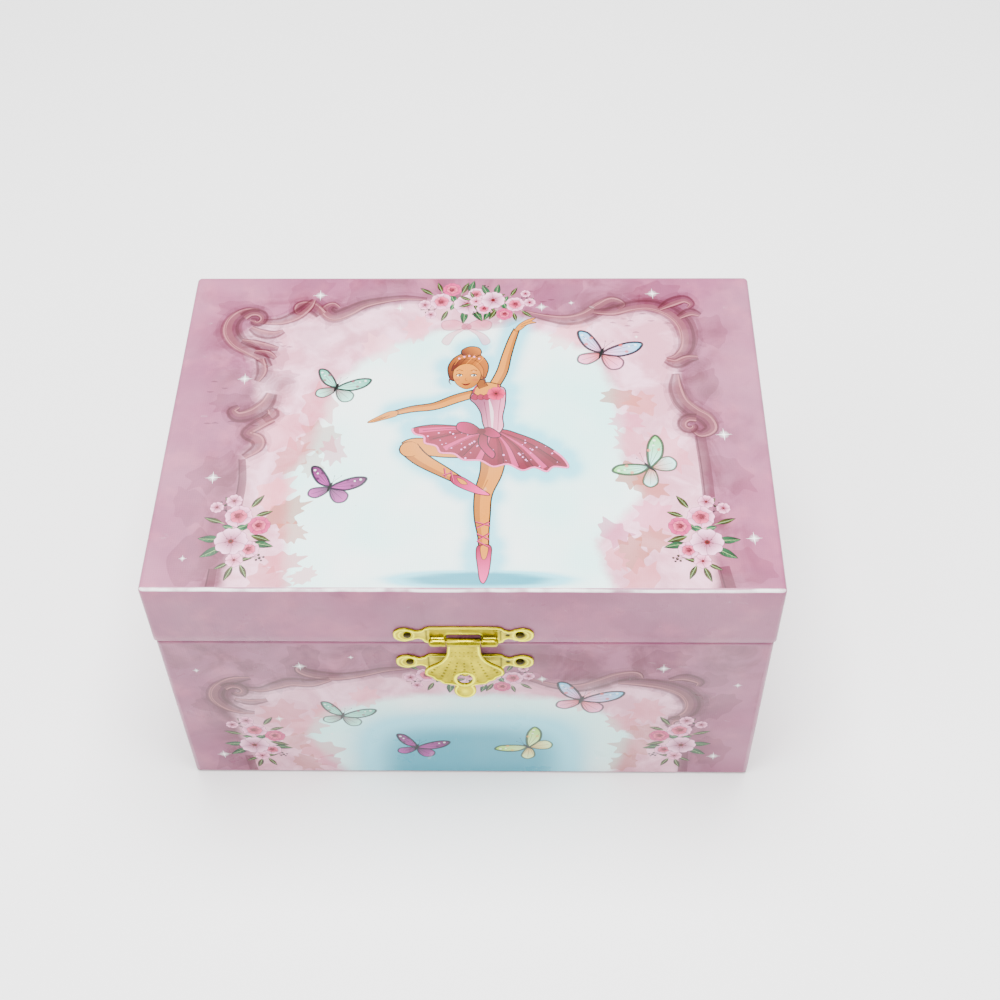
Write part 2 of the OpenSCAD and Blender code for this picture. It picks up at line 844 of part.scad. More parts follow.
// The pinned cylinder: a tube of tracks, with a few pins in each
module note_cylinder() {
  step = (cyl_to - cyl_from - 1.5) / pin_tracks;
  color("gold") translate([0, post_y, barrel_z]) difference() {
    union() {
      rod_x(cyl_r, cyl_from, cyl_to);
      for (i = [0:pin_tracks - 1], j = [0:1])
        translate([cyl_from + 1 + (i + 0.2) * step, 0, 0])
          rotate([i * 67 + j * (137 + i * 5) + 41, 0, 0])
            slab(0, 0.4, -0.2, 0.2, cyl_r - 0.5, cyl_r + 0.5);
    }
    rod_x(shaft_r, cyl_from - 1, cyl_to + 1);
  }
}

module comb() {
  step = (cyl_to - cyl_from - 1.5) / pin_tracks;
  x0 = cyl_from + 0.8;
  color("lightsteelblue") difference() {
    slab(x0, x0 + pin_tracks * step, post_y - 0.5, post_y + 0.5, barrel_z - 21.5, comb_tip_z);
    for (i = [1:pin_tracks - 1])
      slab(x0 + i * step - 0.2, x0 + i * step + 0.2, post_y - 1, post_y + 1,
        barrel_z - 15, comb_tip_z + 1);
    at_comb_screws() translate([0, 0, -2]) cylinder(r = comb_screw_r, h = 4);
  }
}

module comb_screws() {
  color("gold") at_comb_screws() {
    difference() {
      cylinder(r = 1.9, h = 1.2);
      translate([-2.5, -0.25, 0.7]) cube([5, 0.5, 1]);
    }
    translate([0, 0, -4]) cylinder(r = comb_screw_r, h = 4 + eps);
  }
}

// Shaft, pinion and worm wheel; one tooth of the wheel points at the worm
module governor_wheel() {
  color("gold") translate([0, post_y, barrel_z]) {
    rod_x(shaft_r, face_in, 25.2);
    translate([face_in + 0.05, 0, 0]) along_x() pinion(2.7);
    translate([worm_x - 0.7, 0, 0]) along_x() linear_extrude(1.4) {
      circle(r = wheel_root_r);
      for (i = [0:worm_wheel_teeth - 1])
        rotate(i * 360 / worm_wheel_teeth - 90)
          polygon([[wheel_root_r - 0.4, -0.38], [wheel_tip_r, -0.15], [wheel_tip_r, 0.15],
            [wheel_root_r - 0.4, 0.38]]);
    }
  }
}

// A single-start right-hand worm with a two-bladed air brake on its shaft
module governor_worm() {
  worm_from = -3.5;
  worm_len = 7;
  color("silver") translate([worm_x, worm_y, barrel_z]) {
    translate([0, 0, worm_from])
      linear_extrude(worm_len, twist = -360 * worm_len / worm_pitch, slices = 52)
        rotate(-90 + 360 * worm_from / worm_pitch) translate([worm_throw, 0])
          circle(r = worm_r, $fn = 20);
    translate([0, 0, -6.8]) cylinder(r = 0.5, h = 18.8);
    translate([-3.5, -0.25, 5]) cube([7, 0.5, 4.6]);
    translate([0, 0, 4.6]) cylinder(r = 1, h = 5.4);
  }
}

base_front_wall();
base_back_wall();
base_left_wall();
base_right_wall();
base_floor();
base_wrap();
bottom_paper();
lid_top_panel();
lid_front_wall();
lid_back_wall();
lid_left_wall();
lid_right_wall();
lid_wrap();
compartment_liner();
compartment_pad();
shelf_top();
shelf_front();
lid_liner_ceiling();
lid_liner_slopes();
mirror_frame();
mirror_glass();
hinge_left_base_leaf();
hinge_left_lid_leaf();
hinge_left_pin();
hinge_right_base_leaf();
hinge_right_lid_leaf();
hinge_right_pin();
hinge_base_nails();
hinge_lid_nails();
clasp_lid_plate();
clasp_lid_nails();
clasp_pin();
clasp_hasp();
clasp_base_plate();
clasp_base_nails();
clasp_knob();
dancer_body();
dancer_tutu();
dancer_peg();
spring_ferrule();
flex_spring();
bedplate();
bedplate_screws();
winding_arbor();
winding_key();
key_bushing();
spring_barrel();
barrel_cap();
mainspring();
barrel_bridge();
spindle();
spindle_bracket();
note_cylinder();
cylinder_shaft();
cylinder_brackets();
comb();
comb_screws();
governor_wheel();
governor_bracket();
governor_worm();
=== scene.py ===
import bpy
import json
import math
import random
import numpy as np
from mathutils import Matrix, Vector
from mathutils.geometry import delaunay_2d_cdt


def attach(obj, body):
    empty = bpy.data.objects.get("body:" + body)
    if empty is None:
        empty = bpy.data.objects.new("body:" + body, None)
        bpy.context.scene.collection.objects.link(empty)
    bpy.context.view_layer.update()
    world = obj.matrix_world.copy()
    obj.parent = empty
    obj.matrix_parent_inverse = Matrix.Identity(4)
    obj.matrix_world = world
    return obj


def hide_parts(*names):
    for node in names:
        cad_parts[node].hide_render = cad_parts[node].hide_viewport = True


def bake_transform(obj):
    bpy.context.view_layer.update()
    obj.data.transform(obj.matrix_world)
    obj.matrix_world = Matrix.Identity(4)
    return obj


# Lengths in this script are millimetres in the part's own frame: the centre of the bottom is the
# origin, +Z is up and the clasp faces -Y. The lid is closed.
MM = 0.001
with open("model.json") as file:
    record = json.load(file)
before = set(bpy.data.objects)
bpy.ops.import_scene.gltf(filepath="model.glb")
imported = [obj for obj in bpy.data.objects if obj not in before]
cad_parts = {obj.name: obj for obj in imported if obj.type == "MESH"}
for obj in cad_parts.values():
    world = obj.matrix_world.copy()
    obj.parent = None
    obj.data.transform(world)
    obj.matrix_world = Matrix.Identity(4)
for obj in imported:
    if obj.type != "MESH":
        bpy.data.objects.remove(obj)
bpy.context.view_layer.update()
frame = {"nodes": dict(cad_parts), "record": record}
scene = bpy.context.scene

BASE_X, BASE_Y, BASE_TOP = 75.0, 53.0, 62.7
LID_X, LID_Y, LID_Z, LID_TOP = 75.4, 53.4, 63.0, 84.0
POST_Y, FOLD_Z = 41.0, 63.5
PIVOT_Y, PIVOT_Z = 55.6, 62.85
HASP_Y, HASP_Z, HASP_LIFT = -54.95, 65.5, 8.5
CLASP_TOP, CLASP_LOW = 66.9, 54.9  # heights of the middles of the clasp's two plates
HINGE_X, KEY_Z = 42.5, 30
SHEET = 0.46  # thickness of the clasp's pressed brass
CORNER, CORNER_STEPS = 1.3, 6  # radius of the box's upright corners, and steps round one
LID_ROUND, BASE_ROUND = 1.1, 1.0  # radii of the paper's turn over the top edges
PRINT_STEP = 1.3  # spacing of the print's own points between the drawn shapes


def channels(code):
    """Red, green and blue of a #rrggbb code, from 0 to 1."""
    return [int(code[i:i + 2], 16) / 255 for i in (1, 3, 5)]


def polar(x, y, r, q):
    """The point at a radius and an angle from (x, y)."""
    return (x + r * math.cos(q), y + r * math.sin(q))


def srgb(code):
    """A linear colour from a #rrggbb code."""
    return [x / 12.92 if x <= 0.04045 else ((x + 0.055) / 1.055) ** 2.4 for x in channels(code)] + [1.0]


WHITE_LEVEL, VEIL = 4.8, 0.14  # scene brightness of a white sheet, and of the paper's own gloss


def ink(code):
    """The surface colour that shows as #rrggbb under the lights and Blender's default film curve."""
    c = channels(code)
    grey = sum(c) / 3
    c = [min(max(grey + 0.82 * (x - grey), 0.02), 0.98) for x in c]
    c = [0.2 * x ** 1.11 / (1.02 - x) ** 1.31 for x in c]
    grey = sum(c) / 3
    c = [max(1.3 * x - 0.3 * grey - VEIL, 0.015) / WHITE_LEVEL for x in c]
    return [0.92 * x / (0.92 ** 4 + x ** 4) ** 0.25 for x in c] + [1.0]


# ---- Materials -------------------------------------------------------------------------
class Mat:
    """A small builder of node materials; coordinates are the piece's own, in metres."""

    def __init__(self, name, tone=ink):
        self.tone = tone
        self.m = bpy.data.materials.new(name)
        self.m.use_nodes = True
        self.t = self.m.node_tree
        self.t.nodes.clear()
        out = self.node("OutputMaterial")
        self.bsdf = self.node("BsdfPrincipled")
        self.t.links.new(self.bsdf.outputs[0], out.inputs[0])
        self.co = self.node("TexCoord").outputs["Object"]

    def node(self, kind, **put):
        n = self.t.nodes.new("ShaderNode" + kind)
        for k, v in put.items():
            setattr(n, k, v)
        return n

    def put(self, sock, v):
        if isinstance(v, bpy.types.NodeSocket):
            self.t.links.new(v, sock)
        else:
            sock.default_value = v

    def set(self, **put):
        for k, v in put.items():
            self.put(self.bsdf.inputs[k.replace("_", " ")], v)
        return self

    def noise(self, scale, detail=4.0, rough=0.55, dist=0.0):
        n = self.node("TexNoise")
        self.put(n.inputs["Vector"], self.co)
        for k, v in (("Scale", scale), ("Detail", detail), ("Roughness", rough), ("Distortion", dist)):
            n.inputs[k].default_value = v
        return n.outputs["Fac"]

    def wave(self, scale, direction, dist):
        n = self.node("TexWave", bands_direction=direction)
        self.put(n.inputs["Vector"], self.co)
        for k, v in (("Scale", scale), ("Distortion", dist), ("Detail", 2.0)):
            n.inputs[k].default_value = v
        return n.outputs["Fac"]

    def calc(self, op, a, b, clamp=False):
        n = self.node("Math", operation=op, use_clamp=clamp)
        self.put(n.inputs[0], a)
        self.put(n.inputs[1], b)
        return n.outputs[0]

    def times(self, a, b, clamp=False):
        return self.calc("MULTIPLY", a, b, clamp)

    def plus(self, a, b):
        return self.calc("ADD", a, b)

    def span(self, v, a, b, c=0.0, d=1.0):
        """v eased from the range a to b to the range c to d."""
        n = self.node("MapRange", interpolation_type="SMOOTHSTEP")
        self.put(n.inputs["Value"], v)
        for i, x in ((1, a), (2, b), (3, c), (4, d)):
            self.put(n.inputs[i], x)
        return n.outputs["Result"]

    def patchy(self, low, high, *noise):
        """A value that wanders between low and high."""
        return self.span(self.noise(*noise), 0.3, 0.7, low, high)

    def mix(self, fac, a, b):
        n = self.node("Mix", data_type="RGBA", blend_type="MIX")
        self.put(n.inputs["Factor"], fac)
        self.put(n.inputs[6], self.tone(a) if isinstance(a, str) else a)
        self.put(n.inputs[7], self.tone(b) if isinstance(b, str) else b)
        return n.outputs[2]

    def attr(self, name):
        return self.node("Attribute", attribute_name=name)

    def split(self, colour):
        n = self.node("SeparateColor")
        self.put(n.inputs[0], colour)
        return n.outputs

    def axis(self, i):
        n = self.node("SeparateXYZ")
        self.put(n.inputs[0], self.co)
        return n.outputs[i]

    def bump(self, height, depth, strength=1.0, normal=None):
        n = self.node("Bump")
        self.put(n.inputs["Height"], height)
        n.inputs["Distance"].default_value = depth * MM
        self.put(n.inputs["Strength"], strength)
        if normal is not None:
            self.put(n.inputs["Normal"], normal)
        self.put(self.bsdf.inputs["Normal"], n.outputs[0])
        return n.outputs[0]


def paper_finish(m, colour):
    """Clear-laminated paper: linen grain, scuffs, pinholes and an uneven gloss."""
    scuff = m.span(m.noise(160, 6, 0.7, 0.6), 0.66, 0.74)
    colour = m.mix(m.times(scuff, 0.10), colour, "#FFF6F8")
    pits = m.span(m.noise(1100, 2, 0.5), 0.74, 0.80)
    colour = m.mix(m.times(pits, 0.28), colour, "#7E6472")
    tint = m.noise(28, 3)
    colour = m.mix(m.span(tint, 0.35, 0.7, 0.0, 0.05), colour, "#FFFFFF")
    grain = m.plus(m.wave(560, "X", 1.5), m.wave(560, "Y", 1.5))
    colour = m.mix(m.span(grain, 0.3, 1.8, 0.0, 0.045), colour, "#6F5663")
    m.set(Base_Color=colour, Roughness=m.patchy(0.26, 0.42, 70, 4), Specular_IOR_Level=0.14,
          Coat_Weight=0.14, Coat_Roughness=m.patchy(0.05, 0.16, 210, 3))
    low = m.bump(m.noise(34, 2, 0.4), 0.9, 0.16)
    m.bump(m.plus(grain, m.noise(420, 3)), 0.016, 0.55, low)
    return m


def mauve(m):
    """The border's mottled mauve pink, used all over the sides."""
    big = m.noise(38, 4, 0.6, 0.3)
    c = m.mix(m.span(big, 0.3, 0.7), "#D3AFC2", "#DABACA")
    c = m.mix(m.span(m.noise(120, 5, 0.62), 0.45, 0.75, 0.0, 0.42), c, "#E3C3CF")
    return m.mix(m.span(m.noise(64, 5, 0.6, 0.8), 0.56, 0.72, 0.0, 0.35), c, "#C597AE")


def make_side_paper(name="mauve_paper", painted_edge_light_and_shade=False):
    """The flag adds a painted highlight along the lid's front top edge and painted shade along the lid's
    lower front edge, next to the gap to the base.
    """
    m = Mat(name)
    c = mauve(m)
    if painted_edge_light_and_shade:
        # Painted highlight: a broken white line on the rounded front top edge, where the lamps' reflection
        # falls.
        z = m.plus(m.axis(2), m.times(m.calc("SUBTRACT", m.noise(55, 3), 0.5), 0.45 * MM))
        line = m.times(m.span(z, 83.42 * MM, 83.60 * MM), m.span(z, 84.02 * MM, 83.86 * MM))
        line = m.times(line, m.span(m.axis(1), -52.2 * MM, -52.5 * MM))
        c = m.mix(m.times(line, m.span(m.noise(95, 3), 0.34, 0.56, 0.15, 0.9)), c, "#FFFFFF")
        # Painted shade: the lid's lower front edge is darkened beside the gap to the base.
        painted_gap_shade = m.times(m.span(m.axis(2), 63.32 * MM, 63.12 * MM),
                      m.span(m.axis(1), -53.1 * MM, -53.2 * MM))
        c = m.mix(m.times(painted_gap_shade, 0.7), c, "#4E3A45")
    return paper_finish(m, c).m


def make_print(name):
    """The printed picture: washes from the point attribute, drawing from the corner attribute."""
    m = Mat(name)
    wash = m.attr("wash")
    centre, band, halo = m.split(wash.outputs["Color"])[:3]
    inside = wash.outputs["Alpha"]
    soft = m.calc("SUBTRACT", m.noise(90, 6, 0.62, 0.5), 0.5)
    crisp = m.calc("SUBTRACT", m.noise(240, 5, 0.6, 0.3), 0.5)
    c = mauve(m)
    blot = m.span(m.noise(75, 5, 0.62, 0.8), 0.38, 0.66)
    c = m.mix(m.times(m.times(band, blot), 0.85, True), c, "#B98597")
    pink = m.mix(m.span(m.noise(110, 5, 0.6, 0.6), 0.36, 0.68), "#E8D4DB", "#F1E3E8")
    pink = m.mix(m.span(m.noise(52, 4, 0.6), 0.5, 0.72, 0.0, 0.45), pink, "#DFC9D1")
    edge = m.plus(inside, m.times(soft, 0.22))
    c = m.mix(m.span(edge, 0.46, 0.60), c, pink)
    mid = m.plus(centre, m.times(soft, 0.16))
    mid = m.plus(mid, m.times(crisp, 0.10))
    c = m.mix(m.span(mid, 0.40, 0.56), c, m.mix(m.patchy(0.0, 1.0, 30, 2), "#F2FDF8", "#E8F9F3"))
    c = m.mix(m.span(halo, 0.04, 0.5, 0.0, 0.80), c, "#C4E8EE")
    c = m.mix(m.span(halo, 0.5, 1.0, 0.0, 0.90), c, "#9ED3DC")
    drawn = m.attr("ink")
    c = m.mix(drawn.outputs["Alpha"], c, drawn.outputs["Color"])
    return paper_finish(m, c).m


def make_bottom_paper():
    m = Mat("bottom_paper")
    c = m.mix(m.noise(60, 4), "#D9C2CC", "#E6D3DA")
    m.set(Base_Color=c, Roughness=m.patchy(0.6, 0.8, 300, 3))
    m.bump(m.noise(800, 3), 0.03, 0.5)
    return m.m


def make_board():
    m = Mat("greyboard")
    c = m.mix(m.noise(140, 6, 0.7), "#A89B88", "#C2B6A2")
    c = m.mix(m.span(m.noise(900, 2), 0.66, 0.74, 0, 0.6), c, "#6E655A")
    m.set(Base_Color=c, Roughness=0.9)
    m.bump(m.noise(700, 4, 0.7), 0.08, 0.6)
    return m.m


def make_lining():
    """Pale pink flock on crepe paper: creases with painted shade in their hollows, short fibres and a soft
    sheen.
    """
    m = Mat("pink_flock")
    c = m.mix(m.patchy(0.0, 1.0, 42, 4), "#E5D6DA", "#ECE0E3")
    crease = m.noise(620, 5, 0.65, 1.4)
    # Painted shade: darker pink where the crease bump is low.
    c = m.mix(m.span(crease, 0.3, 0.62, 0.35, 0.0), c, "#CBB5BC")
    c = m.mix(m.span(m.noise(2600, 2), 0.55, 0.75, 0, 0.30), c, "#F6ECEB")
    m.set(Base_Color=c, Roughness=m.patchy(0.82, 0.97, 500, 3), Specular_IOR_Level=0.2,
          Sheen_Weight=0.35, Sheen_Roughness=0.5, Sheen_Tint=srgb("#FFEDEE"))
    low = m.bump(crease, 0.22, 0.75)
    m.bump(m.noise(3200, 2), 0.06, 0.6, low)
    return m.m


def make_metal(name, light, dark, rough, grime="#3A3020", tarnish=0.25, relief=False):
    """Metal with tarnished patches; with relief, a painted shade darkens what is pressed in and a painted
    highlight brightens what stands out.
    """
    m = Mat(name)
    c = m.mix(m.span(m.noise(170, 5, 0.62), 0.32, 0.7), light, dark)
    if relief:
        # Painted shade in the pressed-in hollows and a painted highlight on the raised beads, taken from the
        # plate's relief height.
        h = m.attr("relief").outputs["Fac"]
        c = m.mix(m.span(h, -0.01, -0.08, 0.0, 0.92), c, "#4C4218")
        c = m.mix(m.span(h, 0.04, 0.15, 0.0, 0.75), c, "#F8F6CE")
    spots = m.span(m.noise(520, 5, 0.66, 0.5), 0.60, 0.74, 0.0, tarnish)
    c = m.mix(spots, c, grime)
    r = m.patchy(rough, rough + 0.16, 300, 5)
    m.set(Base_Color=c, Metallic=1.0, Roughness=m.plus(r, m.times(spots, 0.3)))
    low = m.bump(m.noise(240, 3), 0.05, 0.35)
    m.bump(m.noise(1500, 4, 0.6), 0.012, 0.5, low)
    return m.m


def make_mirror():
    m = Mat("mirror_glass", srgb)
    smudge = m.span(m.noise(95, 5, 0.65, 1.2), 0.52, 0.78)
    m.set(Base_Color=m.mix(m.noise(60, 2), "#E9EFF2", "#F4F8F9"), Metallic=1.0,
          Roughness=m.plus(0.012, m.times(smudge, 0.05)))
    m.bump(m.noise(40, 2), 0.02, 0.06)
    return m.m


def make_plastic(name, colours, rough=0.3, metallic=0.0, attribute=None, grime=0.2):
    m = Mat(name, srgb if metallic else ink)
    c = m.mix(m.patchy(0.0, 1.0, 260, 5, 0.6), *colours)
    if attribute:
        paint = m.attr(attribute)
        c = m.mix(m.patchy(0.0, 0.14, 420, 4), paint.outputs["Color"], c)
    c = m.mix(m.span(m.noise(900, 4, 0.6), 0.6, 0.75, 0, grime), c, "#6A4E48")
    m.set(Base_Color=c, Metallic=metallic, Roughness=m.patchy(rough, rough + 0.18, 500, 4),
          Specular_IOR_Level=0.3, Coat_Weight=0.1 if not metallic else 0.0, Coat_Roughness=0.2)
    m.bump(m.noise(1300, 3), 0.02, 0.5)
    return m.m


def make_rubber():
    m = Mat("grommet")
    m.set(Base_Color=m.mix(m.noise(300, 4), "#2A2727", "#3B3736"), Roughness=0.7)
    m.bump(m.noise(1200, 3), 0.03, 0.5)
    return m.m


def make_floor():
    m = Mat("floor", srgb)
    m.set(Base_Color=m.mix(m.noise(6, 3), "#F4F4F4", "#F8F8F8"), Roughness=m.patchy(0.7, 0.8, 20, 3))
    m.bump(m.noise(900, 3), 0.02, 0.2)
    return m.m


# ---- Mesh helpers ----------------------------------------------------------------------
def mesh(name, verts, faces, mats, angle=40, slots=None):
    me = bpy.data.meshes.new(name)
    me.from_pydata([[c * MM for c in v] for v in verts], [], [tuple(f) for f in faces])
    me.update()
    me.polygons.foreach_set("use_smooth", [True] * len(me.polygons))
    if angle:
        me.set_sharp_from_angle(angle=math.radians(angle))
    for m in mats:
        me.materials.append(m)
    if slots is not None:
        me.polygons.foreach_set("material_index", slots)
    ob = bpy.data.objects.new(name, me)
    scene.collection.objects.link(ob)
    return ob


def bevelled(ob, width, angle=50):
    b = ob.modifiers.new("edges", "BEVEL")
    b.width, b.segments, b.limit_method, b.angle_limit = width * MM, 2, "ANGLE", math.radians(angle)
    b.harden_normals = False
    return ob


def baked(ob):
    """The piece with its modifiers made part of its mesh."""
    dg = bpy.context.evaluated_depsgraph_get()
    me = bpy.data.meshes.new_from_object(ob.evaluated_get(dg))
    ob.modifiers.clear()
    ob.data = me
    return ob


def loft(loops, closed=True, cap_start=False, cap_end=False):
    """Vertices and quads through loops that all have the same number of points."""
    n = len(loops[0])
    verts = [p for loop in loops for p in loop]
    faces = []
    for i in range(len(loops) - 1):
        for k in range(n if closed else n - 1):
            a, b = i * n + k, i * n + (k + 1) % n
            faces.append((a, b, b + n, a + n))
    if cap_start:
        faces.append(tuple(range(n))[::-1])
    if cap_end:
        faces.append(tuple(range((len(loops) - 1) * n, len(loops) * n)))
    return verts, faces


def join_parts(parts):
    """One vertex and face list out of several."""
    verts, faces = [], []
    for v, f in parts:
        o = len(verts)
        verts += list(v)
        faces += [tuple(i + o for i in q) for q in f]
    return verts, faces


def lathe(profile, at=(0, 0, 0), axis="z", n=32, caps=True):
    """A turned part: profile holds (radius, distance along the axis)."""
    loops = []
    for r, h in profile:
        ring = []
        for k in range(n):
            a = 2 * math.pi * k / n
            u, v = r * math.cos(a), r * math.sin(a)
            p = {"z": (u, v, h), "x": (h, u, v), "y": (v, h, u)}[axis]
            ring.append([p[i] + at[i] for i in range(3)])
        loops.append(ring)
    return loft(loops, cap_start=caps, cap_end=caps)


def turned(verts, faces):
    """The same surface with its outside on the other side."""
    return verts, [tuple(f)[::-1] for f in faces]


def spline(pts, closed=False, n=6):
    """Catmull-Rom through points of any dimension."""
    p = np.array(pts, float)
    m = len(p)
    idx = lambda i: i % m if closed else min(max(i, 0), m - 1)
    out = []
    for i in range(m if closed else m - 1):
        a, b, c, d = (p[idx(i + k)] for k in (-1, 0, 1, 2))
        for s in range(n):
            t = s / n
            out.append(0.5 * (2 * b + (c - a) * t + (2 * a - 5 * b + 4 * c - d) * t * t
                              + (3 * b - a - 3 * c + d) * t ** 3))
    if not closed:
        out.append(p[-1])
    return np.array(out)


def edge_distance(points, poly, closed=True):
    """Distance of each point from a polyline, without sign."""
    p, q = np.array(points, float), np.array(poly, float)
    ends = np.roll(q, -1, 0) if closed else q[1:]
    starts = q if closed else q[:-1]
    best = np.full(len(p), 1e9)
    for a, b in zip(starts, ends):
        d = b - a
        t = np.clip(((p - a) @ d) / max(d @ d, 1e-12), 0, 1)
        best = np.minimum(best, np.hypot(*(p - a - t[:, None] * d).T))
    return best


def within(points, poly):
    """Which points lie in a polygon."""
    p, q = np.array(points, float), np.array(poly, float)
    out = np.zeros(len(p), bool)
    for a, b in zip(q, np.roll(q, -1, 0)):
        cross = (a[1] > p[:, 1]) != (b[1] > p[:, 1])
        dy = b[1] - a[1] if abs(b[1] - a[1]) > 1e-12 else 1e-12
        out ^= cross & (p[:, 0] < (b[0] - a[0]) * (p[:, 1] - a[1]) / dy + a[0])
    return out


def area(p):
    """Area of a polygon, negative when it runs clockwise."""
    q = np.array(p, float)
    r = np.roll(q, -1, 0)
    return 0.5 * float(np.sum(q[:, 0] * r[:, 1] - r[:, 0] * q[:, 1]))


def grid_in(outline, step, margin, holes=()):
    """Evenly spread points inside an outline, clear of its edge and holes."""
    lo, hi = np.min(outline, 0), np.max(outline, 0)
    nx, ny = (max(1, int(round(v / step))) for v in hi - lo)
    g = np.array([[lo[0] + (i + 0.5 * (j % 2)) * (hi[0] - lo[0]) / nx, lo[1] + j * (hi[1] - lo[1]) / ny]
                  for j in range(ny + 1) for i in range(nx + 1)])
    keep = within(g, outline) & (edge_distance(g, outline) > margin)
    for h in holes:
        keep &= ~within(g, h) & (edge_distance(g, h) > margin)
    return g[keep]


def plate(name, outline, holes, thick, height, place, mats, step=0.5, edge=0.12):
    """A pressed plate. height(points, distance from the outline) lifts its front; place maps (u, v, h)."""
    outline = np.array(outline, float)
    if area(outline) < 0:
        outline = outline[::-1]
    holes = [np.array(h, float)[::1 if area(h) > 0 else -1] for h in holes]
    pts, faces = list(map(tuple, outline)), [list(range(len(outline)))]
    for h in holes:
        faces.append(list(range(len(pts), len(pts) + len(h))))
        pts += list(map(tuple, h))
    pts += list(map(tuple, grid_in(outline, step, step * 0.4, holes)))
    res = delaunay_2d_cdt([Vector(p) for p in pts], [], faces, 1, 1e-5, True)
    v2 = np.array([tuple(v) for v in res[0]])
    tris = [f for f, o in zip(res[2], res[5]) if o == [0]]
    dist = edge_distance(v2, outline)
    for h in holes:
        dist = np.minimum(dist, edge_distance(v2, h))
    front = thick + height(v2, dist)
    used = {}
    for f in tris:
        for i, j in zip(f, f[1:] + f[:1]):
            used[(i, j)] = True
    n = len(v2)
    verts = [place(u, v, h) for (u, v), h in zip(v2, front)] + [place(u, v, 0) for u, v in v2]
    quads = [tuple(f) for f in tris] + [tuple(i + n for i in f[::-1]) for f in tris]
    quads += [(j, i, i + n, j + n) for i, j in used if (j, i) not in used]
    ob = mesh(name, verts, quads, mats, 50)
    a = ob.data.attributes.new("relief", "FLOAT", "POINT")
    a.data.foreach_set("value", np.concatenate([front - thick, np.zeros(n)]).astype(np.float32))
    return bevelled(ob, edge, 60)


def tube(points, n):
    """A tube through (x, y, z, r) points."""
    p = np.array(points, float)
    tan = np.gradient(p[:, :3], axis=0)
    tan /= np.linalg.norm(tan, axis=1)[:, None]
    ref = np.array([0.31, 0.95, 0.02])
    loops = []
    for c, t in zip(p, tan):
        u = np.cross(t, ref)
        u /= np.linalg.norm(u)
        v = np.cross(t, u)
        loops.append([tuple(c[:3] + c[3] * (math.cos(a) * u + math.sin(a) * v))
                      for a in np.linspace(0, 2 * math.pi, n, endpoint=False)])
    return loft(loops, cap_start=True, cap_end=True)


def round_ended(points, n=5):
    """Adds a dome to both ends of a tube's points."""
    p = [np.array(q, float) for q in points]
    out = []
    for end, nxt in ((p[0], p[1]), (p[-1], p[-2])):
        d = end[:3] - nxt[:3]
        d /= np.linalg.norm(d)
        dome = []
        for k in range(1, n + 1):
            a = math.pi / 2 * k / (n + 0.5)
            dome.append(np.append(end[:3] + d * end[3] * math.sin(a), end[3] * math.cos(a)))
        out.append(dome)
    return out[0][::-1] + p + out[1]


def ride(ob, body, slot, *nodes):
    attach(ob, body)
    if nodes:
        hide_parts(*nodes)
    return ob


def piece(name, shape, mat, body, slot, *nodes, angle=50):
    """A new piece from (verts, faces), with its material and body and the CAD nodes it stands for; slot is
    not used.
    """
    return ride(mesh(name, *shape, [mat], angle), body, slot, *nodes)


